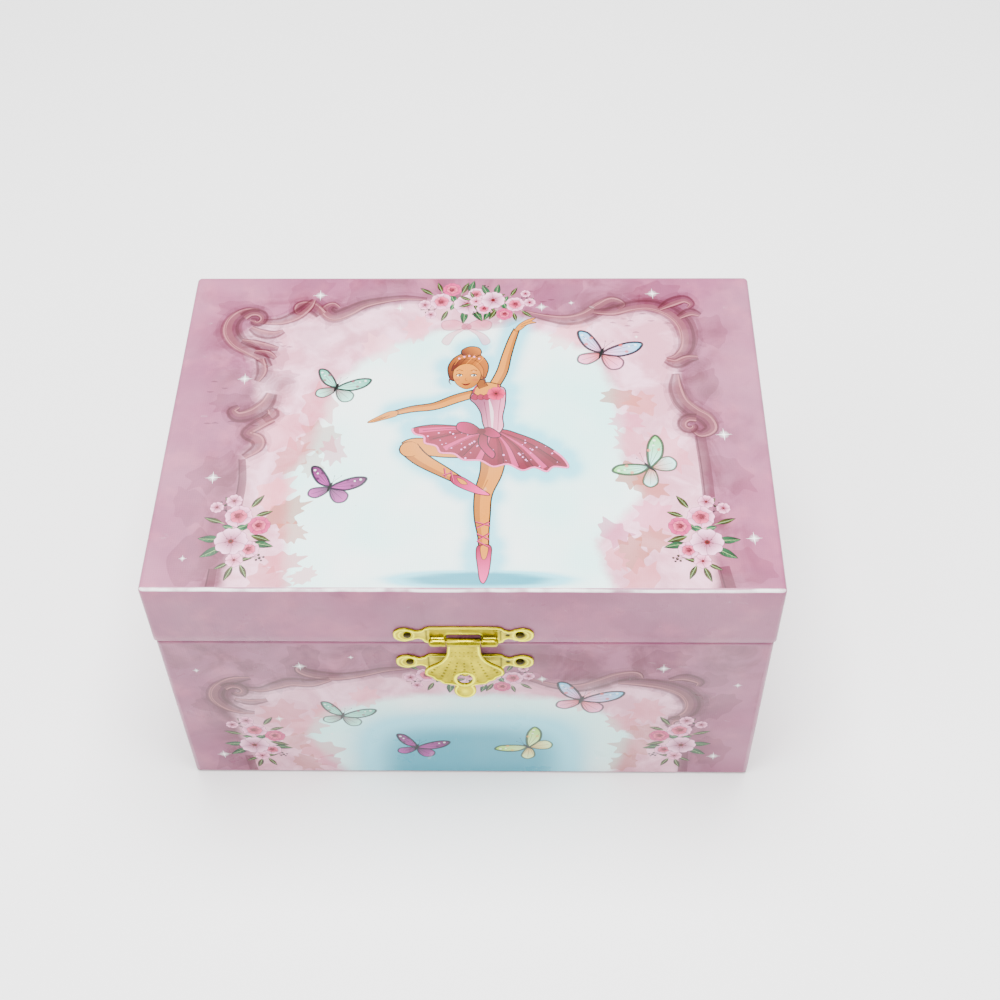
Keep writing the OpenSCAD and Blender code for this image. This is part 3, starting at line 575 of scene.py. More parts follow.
# ---- Drawing ---------------------------------------------------------------------------
class Art:
    """A drawing in layers of plain shapes; each fill can fade from one colour to another."""

    def __init__(self):
        self.polys, self.owner, self.fills = [], [], []

    def fill(self, col, a=1.0, fade=None):
        """fade: (from point, to point, colour, alpha) or (centre, radius, colour, alpha)"""
        if fade:
            fade = fade[:2] + (ink(fade[2])[:3], fade[3])
        self.fills.append((ink(col)[:3], a, fade))
        return len(self.fills) - 1

    def poly(self, pts, g):
        s = area(pts)
        if abs(s) > 1e-4:
            self.polys.append([tuple(p[:2]) for p in (pts if s > 0 else pts[::-1])])
            self.owner.append(g)

    def shape(self, pts, col, a=1.0, fade=None, n=5, line=None):
        """A closed smooth shape, with an optional outline (width, colour, alpha)."""
        c = spline(pts, True, n)
        self.poly(c, self.fill(col, a, fade))
        if line:
            self.stroke([tuple(p) + (line[0],) for p in np.vstack([c, c[:1]])], line[1], line[2], n=1)

    def stroke(self, pts, col, a=1.0, n=6, grow=0.0, shift=0.0):
        """A stroke through (x, y, width) points, laid as short strips that never fold over themselves."""
        span = max(math.dist(p[:2], q[:2]) for p, q in zip(pts, pts[1:]))
        c = spline(pts, n=max(1, min(n, int(1.3 + span / 0.9))))
        t = np.gradient(c[:, :2], axis=0)
        t /= np.maximum(np.hypot(*t.T), 1e-9)[:, None]
        nrm = np.stack([-t[:, 1], t[:, 0]], 1)
        w = np.maximum(c[:, 2] + grow, 0.02)[:, None] / 2
        mid = c[:, :2] + nrm * shift * c[:, 2:3]
        left, right = mid + nrm * w, mid - nrm * w
        g = self.fill(col, a)
        i = 0
        while i < len(c) - 1:
            j = i + 1
            while j < len(c) - 1 and j - i < 6 and t[i] @ t[j + 1] > 0.8:
                j += 1
            self.poly(list(right[i:j + 1]) + list(left[i:j + 1][::-1]), g)
            i = j

    def disc(self, x, y, r, col, a=1.0, fade=None, ry=None, rot=0.0, n=14):
        ry = ry or r
        c, s = math.cos(rot), math.sin(rot)
        pts = [(x + c * r * math.cos(t) - s * ry * math.sin(t),
                y + s * r * math.cos(t) + c * ry * math.sin(t))
               for t in np.linspace(0, 2 * math.pi, n, endpoint=False)]
        self.poly(pts, self.fill(col, a, fade))

    def soft(self, x, y, r, col, a):
        """A round patch that fades outward, from four thin discs."""
        for k in range(4):
            self.disc(x, y, r * (1 - k / 4), col, a / 4 * 1.3, n=22)

    def blotch(self, x, y, r, col, a, seed, lobes=9, stretch=1.0, rot=0.0, spike=0.45):
        """A ragged watercolour patch."""
        q = random.Random(seed)
        pts = []
        for k in range(lobes * 2):
            t = math.pi * k / lobes + q.uniform(-0.12, 0.12)
            m = r * ((1 - spike * q.uniform(0.55, 1.0)) if k % 2 else q.uniform(0.78, 1.12))
            u, v = m * math.cos(t) * stretch, m * math.sin(t) / stretch
            pts.append((x + u * math.cos(rot) - v * math.sin(rot), y + u * math.sin(rot) + v * math.cos(rot)))
        self.shape(pts, col, a, n=3)


class Turned:
    """Draws into an Art with everything moved, turned, scaled and maybe mirrored."""

    def __init__(self, art, x, y, scale=1.0, rot=0.0, flip=False):
        self.art, self.o, self.k, self.rot, self.flip = art, (x, y), scale, math.radians(rot), flip

    def at(self, p):
        x, y = (-p[0] if self.flip else p[0]) * self.k, p[1] * self.k
        c, s = math.cos(self.rot), math.sin(self.rot)
        return (self.o[0] + c * x - s * y, self.o[1] + s * x + c * y) + tuple(v * self.k for v in p[2:])

    def fade(self, f):
        if not f:
            return None
        if isinstance(f[1], (int, float)):
            return (self.at(f[0]), f[1] * self.k, f[2], f[3])
        return (self.at(f[0]), self.at(f[1]), f[2], f[3])

    def shape(self, pts, col, a=1.0, fade=None, n=5, line=None):
        line = (line[0] * self.k, line[1], line[2]) if line else None
        self.art.shape([self.at(p) for p in pts], col, a, self.fade(fade), n, line)

    def stroke(self, pts, col, a=1.0, n=6):
        self.art.stroke([self.at(p) for p in pts], col, a, n)

    def disc(self, x, y, r, col, a=1.0, fade=None, ry=None, rot=0.0, n=14):
        px, py = self.at((x, y))
        turn = self.rot + (-rot if self.flip else rot)
        self.art.disc(px, py, r * self.k, col, a, self.fade(fade), ry and ry * self.k, turn, n)


def petal(t, x, y, ang, length, width, inner, outer):
    c, s = math.cos(ang), math.sin(ang)
    at = lambda u, v: (x + c * u * length - s * v * width, y + s * u * length + c * v * width)
    pts = [at(u, v) for u, v in ((0.0, 0.0), (0.3, 0.30), (0.72, 0.52), (0.98, 0.24), (0.93, 0.0),
                                 (1.0, -0.26), (0.7, -0.52), (0.3, -0.28))]
    tip = polar(x, y, length, ang)
    t.shape(pts, inner, 1.0, ((x, y), tip, outer, 1.0), 2 if length < 3.6 else 3, (0.16, "#B98CA0", 0.55))
    for v in (-0.16, 0.16):
        t.stroke([(x + c * length * 0.15, y + s * length * 0.15, 0.10),
                  (x + c * length * 0.62 - s * v * width, y + s * length * 0.62 + c * v * width, 0.05)],
                 inner, 0.5, 1)


def blossom(t, x, y, r, rot, inner="#D488A8", outer="#F6E2E9", heart="#9A3A28"):
    for k in (0, 2, 4, 1, 3):
        petal(t, x, y, rot + 2 * math.pi * k / 5, r, r * 1.05, inner, outer)
    t.disc(x, y, r * 0.17, "#C9694A")
    t.disc(x, y, r * 0.10, heart)
    for k in range(7):
        q = rot + 0.4 + 2 * math.pi * k / 7
        t.stroke([(x, y, 0.10), polar(x, y, r * 0.33, q) + (0.07,)], heart, 0.75, 2)
        t.disc(*polar(x, y, r * 0.34, q), r * 0.035, "#8E4B2C", n=6)


def rose(t, x, y, r, rot, outer="#F8E3EA"):
    for k in range(6):
        q = rot + 2 * math.pi * k / 6
        petal(t, *polar(x, y, 0.12 * r, q), q, r * 0.88, r * 1.15, "#D08CA8", outer)
    for k in range(5):
        q = rot + 0.5 + 2 * math.pi * k / 5
        petal(t, x, y, q, r * 0.60, r * 0.85, "#C4708F", "#EFC3D2")
    t.disc(x, y, r * 0.30, "#B9647F", fade=((x, y), r * 0.30, "#DDA2B4", 1.0))
    for k, m in enumerate((0.34, 0.24, 0.15)):
        t.stroke([(x + r * m * math.cos(rot + k + u), y + r * m * 0.8 * math.sin(rot + k + u), 0.22)
                  for u in (0.0, 0.7, 1.4, 2.1, 2.8)], "#9C5960", 0.8, 2)


def leaf(t, x, y, ang, length, width, dark="#3E7A55", light="#86B795"):
    c, s = math.cos(ang), math.sin(ang)
    at = lambda u, v: (x + c * u * length - s * v * width, y + s * u * length + c * v * width)
    up = [at(0, 0), at(0.25, 0.34), at(0.55, 0.42), at(0.82, 0.22), at(1.04, 0.0), at(0.8, -0.02),
          at(0.4, 0.02)]
    down = [at(0, 0), at(0.4, 0.02), at(0.8, -0.02), at(1.04, 0.0), at(0.8, -0.24), at(0.5, -0.40),
            at(0.22, -0.30)]
    t.shape(up, dark, 1.0, (at(0, 0), at(1, 0), light, 1.0), 2, (0.12, "#2E3B2A", 0.6))
    t.shape(down, dark, 1.0, (at(1, 0), at(0, 0), light, 1.0), 2, (0.12, "#2E3B2A", 0.6))
    t.stroke([at(-0.15, 0) + (0.16,), at(0.5, 0.03) + (0.14,), at(0.98, 0) + (0.05,)], "#DCE8CF", 0.55, 3)
    for u in (0.3, 0.5, 0.7):
        t.stroke([at(u, 0) + (0.07,), at(u + 0.14, 0.26) + (0.04,)], "#DCE8CF", 0.35, 1)
        t.stroke([at(u, 0) + (0.07,), at(u + 0.14, -0.26) + (0.04,)], "#23402F", 0.4, 1)


OLIVE = ("#5A5E3A", "#A0A276")


def berries(t, x, y, ang, size=1.0):
    c, s = math.cos(ang), math.sin(ang)
    for u, v, r in ((2.0, 0.9, 0.42), (2.7, 0.0, 0.46), (2.1, -0.9, 0.40), (3.6, 0.7, 0.38),
                    (3.5, -0.6, 0.34)):
        px, py = x + (c * u - s * v) * size, y + (s * u + c * v) * size
        t.stroke([(x, y, 0.12), ((x + px) / 2 + 0.1, (y + py) / 2, 0.10), (px, py, 0.08)], "#5B3F3A", 0.9, 2)
        t.disc(px, py, r * size, "#3A3328", n=9)
        t.disc(px - 0.12 * size, py + 0.12 * size, r * 0.3 * size, "#C9C3A6", 0.8, n=6)


def cluster(t):
    """A standing spray of flowers about 24 mm high and 16 mm wide, round the origin."""
    for x, y, q, l, w in ((3.2, 8.2, 55, 4.6, 1.9), (4.6, 5.6, 20, 4.0, 1.7), (-3.4, 3.4, 160, 4.6, 1.8),
                          (4.0, -0.4, -20, 5.0, 2.1), (0.6, -9.6, -110, 4.4, 1.8),
                          (2.4, -9.2, -65, 4.2, 1.7), (-1.6, 8.2, 120, 3.6, 1.5), (1.6, -8.0, 15, 3.6, 1.5),
                          (-0.4, -8.6, -150, 3.6, 1.5)):
        leaf(t, x, y, math.radians(q), l, w, *OLIVE)
    for x, y, q, l, w in ((-3.0, -1.6, 178, 5.4, 2.7), (-2.4, -3.8, 212, 5.8, 2.8),
                          (4.2, -2.6, -12, 5.4, 2.5), (1.6, 1.0, 60, 3.6, 2.0)):
        leaf(t, x, y, math.radians(q), l, w)
    berries(t, -2.6, 6.8, math.radians(130), 0.95)
    berries(t, 4.6, -6.4, math.radians(-20), 0.85)
    blossom(t, -1.2, 10.2, 2.0, 0.5)
    blossom(t, -5.2, 8.2, 1.7, 1.2)
    rose(t, 5.6, 2.6, 2.7, 0.6, outer="#E9AECB")
    rose(t, 0.4, 5.4, 3.3, 0.2)
    leaf(t, 0.2, 1.6, math.radians(20), 2.8, 1.9, "#2F7F5A", "#8CC4A5")
    leaf(t, -0.6, 1.8, math.radians(165), 2.6, 1.8, "#2F7F5A", "#8CC4A5")
    blossom(t, 0.8, -7.8, 2.1, 0.1, "#E3B4C6")
    rose(t, 4.0, -4.6, 2.4, 0.9)
    blossom(t, -0.6, -2.2, 4.0, 0.32, "#CF7C9E", "#F8E6EC")


def butterfly(t, far, near, low, edge):
    """A butterfly about 15 mm wide: two fore wings, two hind wings, veins, body and feelers."""
    body = "#4A3B4E"
    hind = (((0.2, -0.3), (2.6, -0.6), (4.4, -2.2), (3.8, -4.2), (1.8, -4.6), (0.4, -2.8)),
            ((-0.2, -0.2), (-2.0, 0.0), (-4.4, -0.6), (-4.8, -2.4), (-3.0, -3.2), (-0.8, -1.8)))
    fore = (((0.2, 0.0), (2.2, 1.6), (5.6, 3.0), (8.4, 2.8), (7.2, 0.6), (4.2, -0.8), (1.6, -0.6)),
            ((-0.1, 0.2), (-2.6, 1.2), (-4.2, 3.6), (-4.6, 6.2), (-2.8, 6.0), (-1.2, 3.8), (-0.2, 1.6)))
    for w in hind:
        t.shape(w, low, 0.95, ((0, 0), w[3], near, 0.95), 4, (0.42, edge, 0.85))
        for q in (2, 3, 4):
            t.stroke([(0, -0.3, 0.16), tuple(np.array(w[q]) * 0.86) + (0.10,)], edge, 0.6, 2)
    for w in fore:
        t.shape(w, near, 0.98, ((0, 0), w[3], far, 0.98), 5, (0.55, edge, 0.95))
        for q in (2, 3, 4):
            t.stroke([(0, 0.1, 0.18), tuple(np.array(w[q]) * 0.88) + (0.10,)], edge, 0.65, 2)
        for f, r in ((0.84, 0.34), (0.68, 0.26)):
            t.disc(w[3][0] * f, w[3][1] * f, r, "#FFFFFF", 0.6, n=7)
        for q in (2, 4):
            t.disc(w[q][0] * 0.72, w[q][1] * 0.72, 0.42, low, 0.7, n=8)
    t.stroke([(-0.5, -1.7, 0.2), (-0.1, 0.0, 0.62), (0.5, 1.4, 0.42)], body, 1.0, 4)
    for dx in (-0.1, 1.5):
        t.stroke([(0.5, 1.3, 0.10), (0.8 + dx * 0.4, 2.4, 0.08), (1.0 + dx, 3.4, 0.06)], body, 0.9, 3)
        t.disc(1.0 + dx, 3.45, 0.14, body, n=6)


def sparkle(art, x, y, r):
    r *= 0.72
    art.soft(x, y, r * 0.6, "#FFFFFF", 0.45)
    for k in range(4):
        q = math.pi / 2 * k + 0.05
        art.stroke([(x, y, r * 0.15), polar(x, y, r, q) + (0.02,)], "#FFFFFF", 0.9, 2)
        q += math.pi / 4
        art.stroke([(x, y, r * 0.10), (x + r * 0.4 * math.cos(q), y + r * 0.45 * math.sin(q), 0.02)],
                   "#FFFFFF", 0.6, 2)
    art.disc(x, y, r * 0.16, "#FFFFFF", n=8)


def scroll(art, pts, side=1):
    """A painted rococo moulding: shadow, body, highlight and a drawn edge."""
    dark, mid, light = "#8E5F70", "#B07F8B", "#D2AFB4"
    pts = [(x, y, w * 1.8 + 0.3) for x, y, w in pts]
    art.stroke(pts, "#A9788A", 0.20, grow=2.8)
    for k, (x, y, w) in enumerate(pts[1:-1]):
        art.blotch(x, y, w * 0.95, "#A87686", 0.22, len(art.fills), lobes=5, stretch=1.2, rot=k * 1.1,
                   spike=0.5)
    art.stroke(pts, mid, 0.52, grow=0.3)
    art.stroke([(x, y, w * 0.46) for x, y, w in pts], light, 0.36, shift=0.42 * side)
    art.stroke([(x, y, w * 0.14) for x, y, w in pts], "#E6CDD0", 0.42, shift=2.2 * side)
    art.stroke([(x, y, min(0.9, w * 0.22)) for x, y, w in pts], dark, 0.46, shift=-1.7 * side)
    art.stroke([(x, y, min(0.35, w * 0.10)) for x, y, w in pts], dark, 0.45, shift=4.6 * side)


def curl(x, y, r, start, turn, width):
    """Points of a closing spiral."""
    out = []
    for k in range(9):
        u = k / 8
        q = math.radians(start + turn * u)
        out.append(polar(x, y, r * (1 - 0.78 * u), q) + (width * (1 - 0.55 * u),))
    return out


def dancer_picture(art):
    """A plain dancer of our own: a step on one toe, one arm up and one out."""
    skin, shade, line = "#E8CBA0", "#CDA07A", "#5E3226"
    pink, deep, pale, plum = "#D6489A", "#A01C6A", "#F0B4D4", "#7A1F4C"
    halo = []

    def limb(pts, fade=True):
        halo.extend(spline(pts)[:, :2])
        art.stroke(pts, line, 1.0, grow=0.72)
        art.stroke(pts, skin, 1.0)
        if fade:
            art.stroke([(x, y, w * 0.34) for x, y, w in pts], shade, 0.55, shift=-0.95)

    def pen(pts, w=0.22, col=line, a=0.9):
        art.stroke([(x, y, w) for x, y in pts], col, a, 4)

    # far arm, out to the side
    limb([(1.6, 9.4, 2.3), (-3.0, 7.6, 2.5), (-8.4, 5.0, 2.1), (-14.0, 4.0, 1.7), (-18.4, 2.6, 1.2)])
    art.shape([(-17.8, 3.3), (-20.0, 3.1), (-23.0, 1.2), (-25.2, -0.6), (-23.6, -0.6), (-21.4, 0.2),
               (-19.2, 1.0), (-17.8, 1.8)], skin, 1.0, line=(0.22, line, 0.9))
    for dx, dy in ((0, 0), (0.9, 0.9), (-0.9, -0.3)):
        pen([(-20.6 + dx, 1.4 + dy * 0.4), (-23.4 + dx, -0.3 + dy * 0.5)], 0.14)
    # raised arm
    limb([(6.4, 11.6, 2.4), (8.6, 17.0, 2.5), (9.8, 23.0, 2.1), (11.2, 29.0, 1.7), (12.4, 33.0, 1.2)])
    art.shape([(11.8, 32.4), (13.0, 34.8), (15.2, 36.6), (17.4, 37.2), (16.4, 36.0), (17.6, 35.4),
               (15.2, 34.6), (13.4, 32.6)], skin, 1.0, line=(0.22, line, 0.9))
    pen([(13.6, 34.6), (16.4, 36.2)], 0.14)
    pen([(13.4, 33.8), (16.6, 35.3)], 0.14)
    # bent leg, then the standing leg
    limb([(3.6, -9.6, 5.2), (-5.0, -9.4, 5.4), (-12.6, -8.6, 5.0), (-14.6, -9.6, 4.6)], False)
    limb([(-14.2, -9.4, 4.6), (-11.0, -13.0, 3.9), (-5.4, -17.0, 3.0), (-1.6, -19.6, 2.1)])
    art.disc(-14.2, -9.6, 2.62, line)
    art.disc(-14.0, -9.6, 2.45, skin)
    limb([(7.0, -10.0, 6.2), (6.4, -17.0, 5.2), (4.6, -24.0, 4.0), (4.4, -31.0, 3.5), (4.8, -37.0, 2.3),
          (5.0, -41.0, 2.0)])
    art.stroke([(5.6, -19.5, 0.2), (4.2, -23.4, 0.2)], shade, 0.8, 3)
    # shoes and crossed ribbons
    for shoe in ([(-3.2, -18.0), (-0.8, -18.6), (1.4, -20.2), (4.0, -22.4), (6.2, -24.4), (3.6, -24.2),
                  (0.2, -22.8), (-2.4, -21.2), (-3.6, -19.6)],
                 [(3.6, -40.0), (6.6, -40.0), (6.7, -44.0), (6.2, -48.4), (5.2, -51.0), (4.2, -50.0),
                  (3.6, -46.0), (3.2, -42.6)]):
        halo.extend(shoe)
        art.shape(shoe, pink, 1.0, (shoe[0], shoe[4], pale, 1.0), line=(0.26, deep, 0.95))
    art.shape([(4.2, -40.2), (6.0, -40.2), (5.6, -43.6), (4.6, -43.8)], skin, 1.0, line=(0.16, deep, 0.9))
    art.shape([(-2.0, -19.0), (-0.4, -19.6), (0.6, -21.0), (-1.0, -20.8)], skin, 1.0, line=(0.16, deep, 0.9))
    for a, b in (((3.2, -36.4), (6.3, -38.2)), ((6.3, -36.2), (3.4, -38.4)), ((3.3, -38.6), (6.2, -40.4)),
                 ((2.9, -32.8), (6.4, -34.0)), ((6.2, -32.8), (3.1, -34.6)), ((-3.6, -16.8), (-2.8, -20.2)),
                 ((-5.2, -15.8), (-4.8, -18.8)), ((-5.6, -18.2), (-3.2, -17.2))):
        art.stroke([a + (0.5,), b + (0.5,)], "#C76B93", 1.0, 1)
        art.stroke([a + (0.14,), b + (0.14,)], "#F2BCD2", 0.8, 1, shift=0.8)
    # skirt
    skirt = [(4.4, -3.0), (0.6, -2.2), (-4.0, -1.6), (-9.0, -1.4), (-13.6, -2.6), (-13.0, -4.6),
             (-10.8, -5.4), (-10.4, -7.6), (-7.6, -8.6), (-6.4, -10.8), (-3.0, -11.2), (-0.6, -13.2),
             (3.6, -13.4), (6.8, -15.4), (10.4, -14.6), (14.0, -16.6), (17.0, -15.6), (20.0, -17.0),
             (21.8, -15.4), (25.4, -15.6), (24.2, -12.4), (21.0, -9.2), (17.0, -6.4), (13.0, -4.4),
             (9.4, -3.0)]
    halo.extend(skirt)
    art.shape(skirt, pink, 1.0, ((6, -3), (8, -16), "#C4348A", 1.0), line=(0.34, plum, 1.0))
    waist = (6.6, -3.2)
    for k, (x, y) in enumerate(((-12.0, -3.4), (-9.4, -6.2), (-5.4, -9.4), (-1.6, -11.8), (3.2, -13.0),
                                (8.6, -14.6), (12.4, -15.4), (16.0, -15.6), (19.6, -15.6), (22.6, -14.2))):
        wx, wy = waist[0] + (x - 6) * 0.10, waist[1] - 0.4
        bend = ((wx + x) / 2 + 0.4, (wy + y) / 2 + 0.9)
        col, a = (deep, 0.42) if k % 2 else (pale, 0.5)
        art.stroke([(wx, wy, 0.15), bend + (0.9,), (x, y, 1.5)], col, a, 4)
        art.stroke([(wx, wy, 0.14), (bend[0] + 0.5, bend[1], 0.18), (x + 0.9, y, 0.2)], plum, 0.8, 4)
    hem = spline(skirt, True, 4)[16:84]
    art.stroke([(x, y, 0.5) for x, y in hem], "#F6CFE0", 0.85, 1, shift=0.25)
    q = random.Random(5)
    for _ in range(46):
        k = q.random()
        a = np.array(skirt[q.randrange(5, 22)]) * (0.35 + 0.6 * k) + np.array(waist) * (0.65 - 0.6 * k)
        art.disc(a[0], a[1], q.uniform(0.12, 0.3), "#FCE3EE", 0.85, n=6)
    # bodice
    body = [(1.2, 9.6), (3.4, 8.0), (6.6, 9.6), (8.2, 11.8), (9.6, 10.6), (9.6, 5.8), (9.0, 1.4),
            (9.2, -2.2), (7.4, -4.8), (5.0, -3.2), (4.0, -1.0), (3.4, 2.6), (2.0, 5.6), (0.6, 7.4)]
    halo.extend(body)
    art.shape([(1.0, 9.8), (2.6, 12.2), (4.4, 13.4), (6.8, 13.0), (8.4, 12.0), (7.8, 8.0), (3.2, 7.0)],
              skin, 1.0, line=(0.30, line, 1.0))
    art.shape(body, "#D2A6BA", 1.0, ((3, 3), (9.6, 1), "#EED4DE", 1.0), line=(0.32, plum, 1.0))
    art.stroke([(5.4, 7.6, 0.2), (6.2, 3.0, 0.9), (6.4, -2.6, 0.3)], "#FFFFFF", 0.45, 5)
    pen([(4.2, 6.6), (4.8, 2.4), (5.4, -2.6)], 0.16, "#B0648A", 0.8)
    pen([(8.4, 7.6), (8.0, 3.0), (7.8, -3.2)], 0.16, "#B0648A", 0.8)
    art.stroke([(1.4, 9.6, 0.5), (1.8, 11.6, 0.45), (3.0, 13.0, 0.4)], pink, 1.0, 3)
    art.stroke([(7.8, 11.4, 0.5), (7.6, 12.6, 0.4)], pink, 1.0, 3)
    for k in range(3):
        art.shape([(0.8 + k * 1.5, 7.8), (2.2 + k * 1.5, 7.2), (2.8 + k * 1.5, 8.4), (1.6 + k * 1.5, 9.2)],
                  pink, 1.0, line=(0.16, deep, 0.9))
    blossom(Turned(art, 7.2, 9.4), 0, 0, 2.3, 0.3, "#C8557F", "#EFA9C4", "#8E3A20")
    # sash bow at the hip
    for s in ([(3.6, -3.4), (1.0, -0.8), (-2.0, -0.6), (-2.6, -2.8), (-0.4, -4.4), (2.0, -4.6)],
              [(3.8, -3.6), (3.0, -7.4), (4.6, -10.6), (6.6, -12.6), (7.2, -10.8), (5.4, -8.0), (5.2, -4.4)],
              [(3.4, -3.6), (5.4, -2.2), (7.6, -3.6), (8.6, -5.2), (6.8, -5.8), (4.8, -5.0)]):
        art.shape(s, "#C02C80", 1.0, (s[0], s[3], "#E078B4", 1.0), line=(0.26, plum, 1.0))
    art.disc(3.7, -3.6, 1.1, "#B34A7C")
    # neck and head
    art.stroke([(4.0, 11.6, 2.3), (2.6, 14.4, 2.0)], line, 1.0, 3, grow=0.4)
    art.stroke([(4.0, 11.6, 2.3), (2.6, 14.4, 2.0)], shade, 1.0, 3)
    hair, lock = "#B07C34", "#E4BC62"
    art.shape([(-5.0, 15.2), (-5.4, 19.0), (-3.8, 22.4), (-0.6, 24.2), (3.0, 23.2), (5.0, 20.0),
               (4.8, 16.4), (3.4, 14.4), (-3.4, 13.8)], hair, 1.0, ((-4, 14), (3, 24), lock, 1.0),
              line=(0.30, line, 1.0))
    art.shape([(-1.6, 23.2), (-2.0, 25.0), (0.0, 26.4), (2.4, 26.0), (3.2, 24.2), (2.0, 22.8)], hair, 1.0,
              ((-1, 23), (2, 26), lock, 1.0), line=(0.28, line, 1.0))
    face = [(-4.0, 17.0), (-3.9, 14.6), (-2.6, 12.2), (-0.6, 11.0), (1.4, 11.8), (2.8, 14.0), (3.2, 16.6),
            (2.0, 19.4), (-1.4, 20.2), (-3.4, 19.0)]
    halo.extend([(-5.4, 19.0), (-0.6, 25.0), (5.0, 20.0), (2.0, 26.4), (-4.6, 14.0)])
    art.shape(face, skin, 1.0, ((-1.0, 17), (2.8, 12), "#D9B088", 1.0), line=(0.20, line, 0.9))
    art.shape([(-4.4, 17.4), (-3.8, 20.4), (-1.2, 21.8), (2.0, 21.0), (3.8, 18.0), (3.6, 15.4), (2.6, 18.0),
               (0.4, 20.0), (-2.2, 19.6)], hair, 1.0, ((-3, 19), (3, 20), lock, 1.0),
              line=(0.16, line, 0.8))
    for k in range(5):
        art.stroke([(-3.8 + k * 1.4, 19.6, 0.08), (-2.4 + k * 1.5, 22.0, 0.22), (0.2 + k * 0.7, 23.6, 0.08)],
                   "#7E4A22" if k % 2 else "#EED09A", 0.7, 4)
    for x in (-2.4, 1.3):
        art.disc(x, 15.9, 0.70, "#F7F1EC", ry=0.38, n=10)
        art.disc(x + 0.08, 15.9, 0.38, "#4C6F86", n=9)
        art.disc(x + 0.08, 15.9, 0.20, "#22252C", n=7)
        art.disc(x - 0.06, 16.06, 0.10, "#FFFFFF", n=6)
        pen([(x - 0.9, 15.9), (x, 16.45), (x + 0.9, 16.0)], 0.30, "#4A2C24", 1.0)
        pen([(x - 0.8, 17.5), (x, 17.9), (x + 0.9, 17.5)], 0.20, "#9A5C34", 0.9)
        art.disc(x + (-0.5 if x < 0 else 0.5), 14.3, 0.8, "#DE9C90", 0.35, ry=0.5)
    pen([(-0.6, 15.0), (-0.9, 14.2), (-0.3, 14.0)], 0.14, "#A8683F", 0.8)
    art.shape([(-1.7, 12.95), (-0.7, 12.8), (0.5, 13.1), (-0.1, 12.4), (-1.0, 12.3)], "#B84656", 1.0)
    pen([(-1.8, 13.0), (-0.7, 12.75), (0.6, 13.15)], 0.11, "#7A2E30", 0.9)
    art.stroke([(-4.6, 15.4, 0.5), (-5.0, 13.6, 0.35), (-4.4, 12.6, 0.15)], hair, 1.0, 4)
    art.stroke([(3.8, 15.4, 0.5), (4.4, 13.8, 0.35), (4.0, 12.8, 0.15)], hair, 1.0, 4)
    for k in range(5):
        art.disc(-2.6 + k * 1.3, 22.0 + 0.9 * math.sin(k * 0.8), 0.30, "#F4D7E2", n=8)
    return np.array(halo)


def picture(art, outline, fields):
    """Turns a drawing into a triangulated face: points, triangles, corner colours and point washes."""
    lo, hi = np.min(outline, 0) + 0.05, np.max(outline, 0) - 0.05
    pts, polys = [tuple(p) for p in outline], []
    edges = [(i, (i + 1) % len(pts)) for i in range(len(pts))]
    for poly, g in zip(art.polys, art.owner):
        q = [(min(max(x, lo[0]), hi[0]), min(max(y, lo[1]), hi[1])) for x, y in poly]
        if abs(area(q)) < 1e-4:
            continue
        polys.append((np.array(q), g))
        edges += [(len(pts) + i, len(pts) + (i + 1) % len(q)) for i in range(len(q))]
        pts += q
    pts += [tuple(p) for p in grid_in(np.array(outline), PRINT_STEP, PRINT_STEP * 0.5)]
    res = delaunay_2d_cdt([Vector(p) for p in pts], edges, [], 0, 0.01, False)
    v2 = np.array([tuple(v) for v in res[0]])
    tris = np.array(res[2])
    mid = v2[tris].mean(1)
    order = np.argsort(mid[:, 0])
    mid = mid[order]
    where = {}
    for q, g in polys:
        i, j = np.searchsorted(mid[:, 0], (q[:, 0].min(), q[:, 0].max()))
        k = i + np.nonzero((mid[i:j, 1] > q[:, 1].min()) & (mid[i:j, 1] < q[:, 1].max()))[0]
        where.setdefault(g, []).append(order[k[within(mid[k], q)]])
    where = {g: np.unique(np.concatenate(k)) for g, k in where.items()}
    corner = v2[tris]
    rgb, al = np.zeros(corner.shape[:2] + (3,)), np.zeros(corner.shape[:2])
    for g in sorted(where):
        k = where[g]
        c, a, fade = art.fills[g]
        c = np.array(c)[None, None, :] + 0 * rgb[k]
        a = a + 0 * al[k]
        if fade:
            p = corner[k]
            if isinstance(fade[1], (int, float)):
                t = np.linalg.norm(p - np.array(fade[0]), axis=2) / fade[1]
            else:
                d = np.subtract(fade[1], fade[0])
                t = (p - np.array(fade[0])) @ d / max(d @ d, 1e-9)
            t = np.clip(t, 0, 1)
            c = c * (1 - t[..., None]) + np.array(fade[2]) * t[..., None]
            a = a * (1 - t) + fade[3] * t
        na = a + al[k] * (1 - a)
        rgb[k] = (c * a[..., None] + rgb[k] * (al[k] * (1 - a))[..., None]) / np.maximum(na, 1e-6)[..., None]
        al[k] = na
    cols = np.concatenate([rgb, al[..., None]], 2).reshape(-1, 4)
    return v2, tris, cols.astype(np.float32), fields(v2).astype(np.float32)


# ---- The printed shells ----------------------------------------------------------------
NX, NY = 60, 42


def ring(x0, x1, y0, y1, r, z):
    """A rounded rectangle of points from the front left corner, counter-clockwise."""
    out = []
    corners = ((x0 + r, y0 + r, 180, NX), (x1 - r, y0 + r, 270, NY), (x1 - r, y1 - r, 0, NX),
               (x0 + r, y1 - r, 90, NY))
    for i, (cx, cy, a0, n) in enumerate(corners):
        arc = [polar(cx, cy, r, math.radians(a0 + 90 * k / CORNER_STEPS)) for k in range(CORNER_STEPS + 1)]
        x2, y2, b0 = corners[(i + 1) % 4][:3]
        nxt = polar(x2, y2, r, math.radians(b0))
        ex, ey = arc[-1]
        out += arc + [(ex + (nxt[0] - ex) * k / n, ey + (nxt[1] - ey) * k / n) for k in range(1, n)]
    return [(x, y, z) for x, y in out]


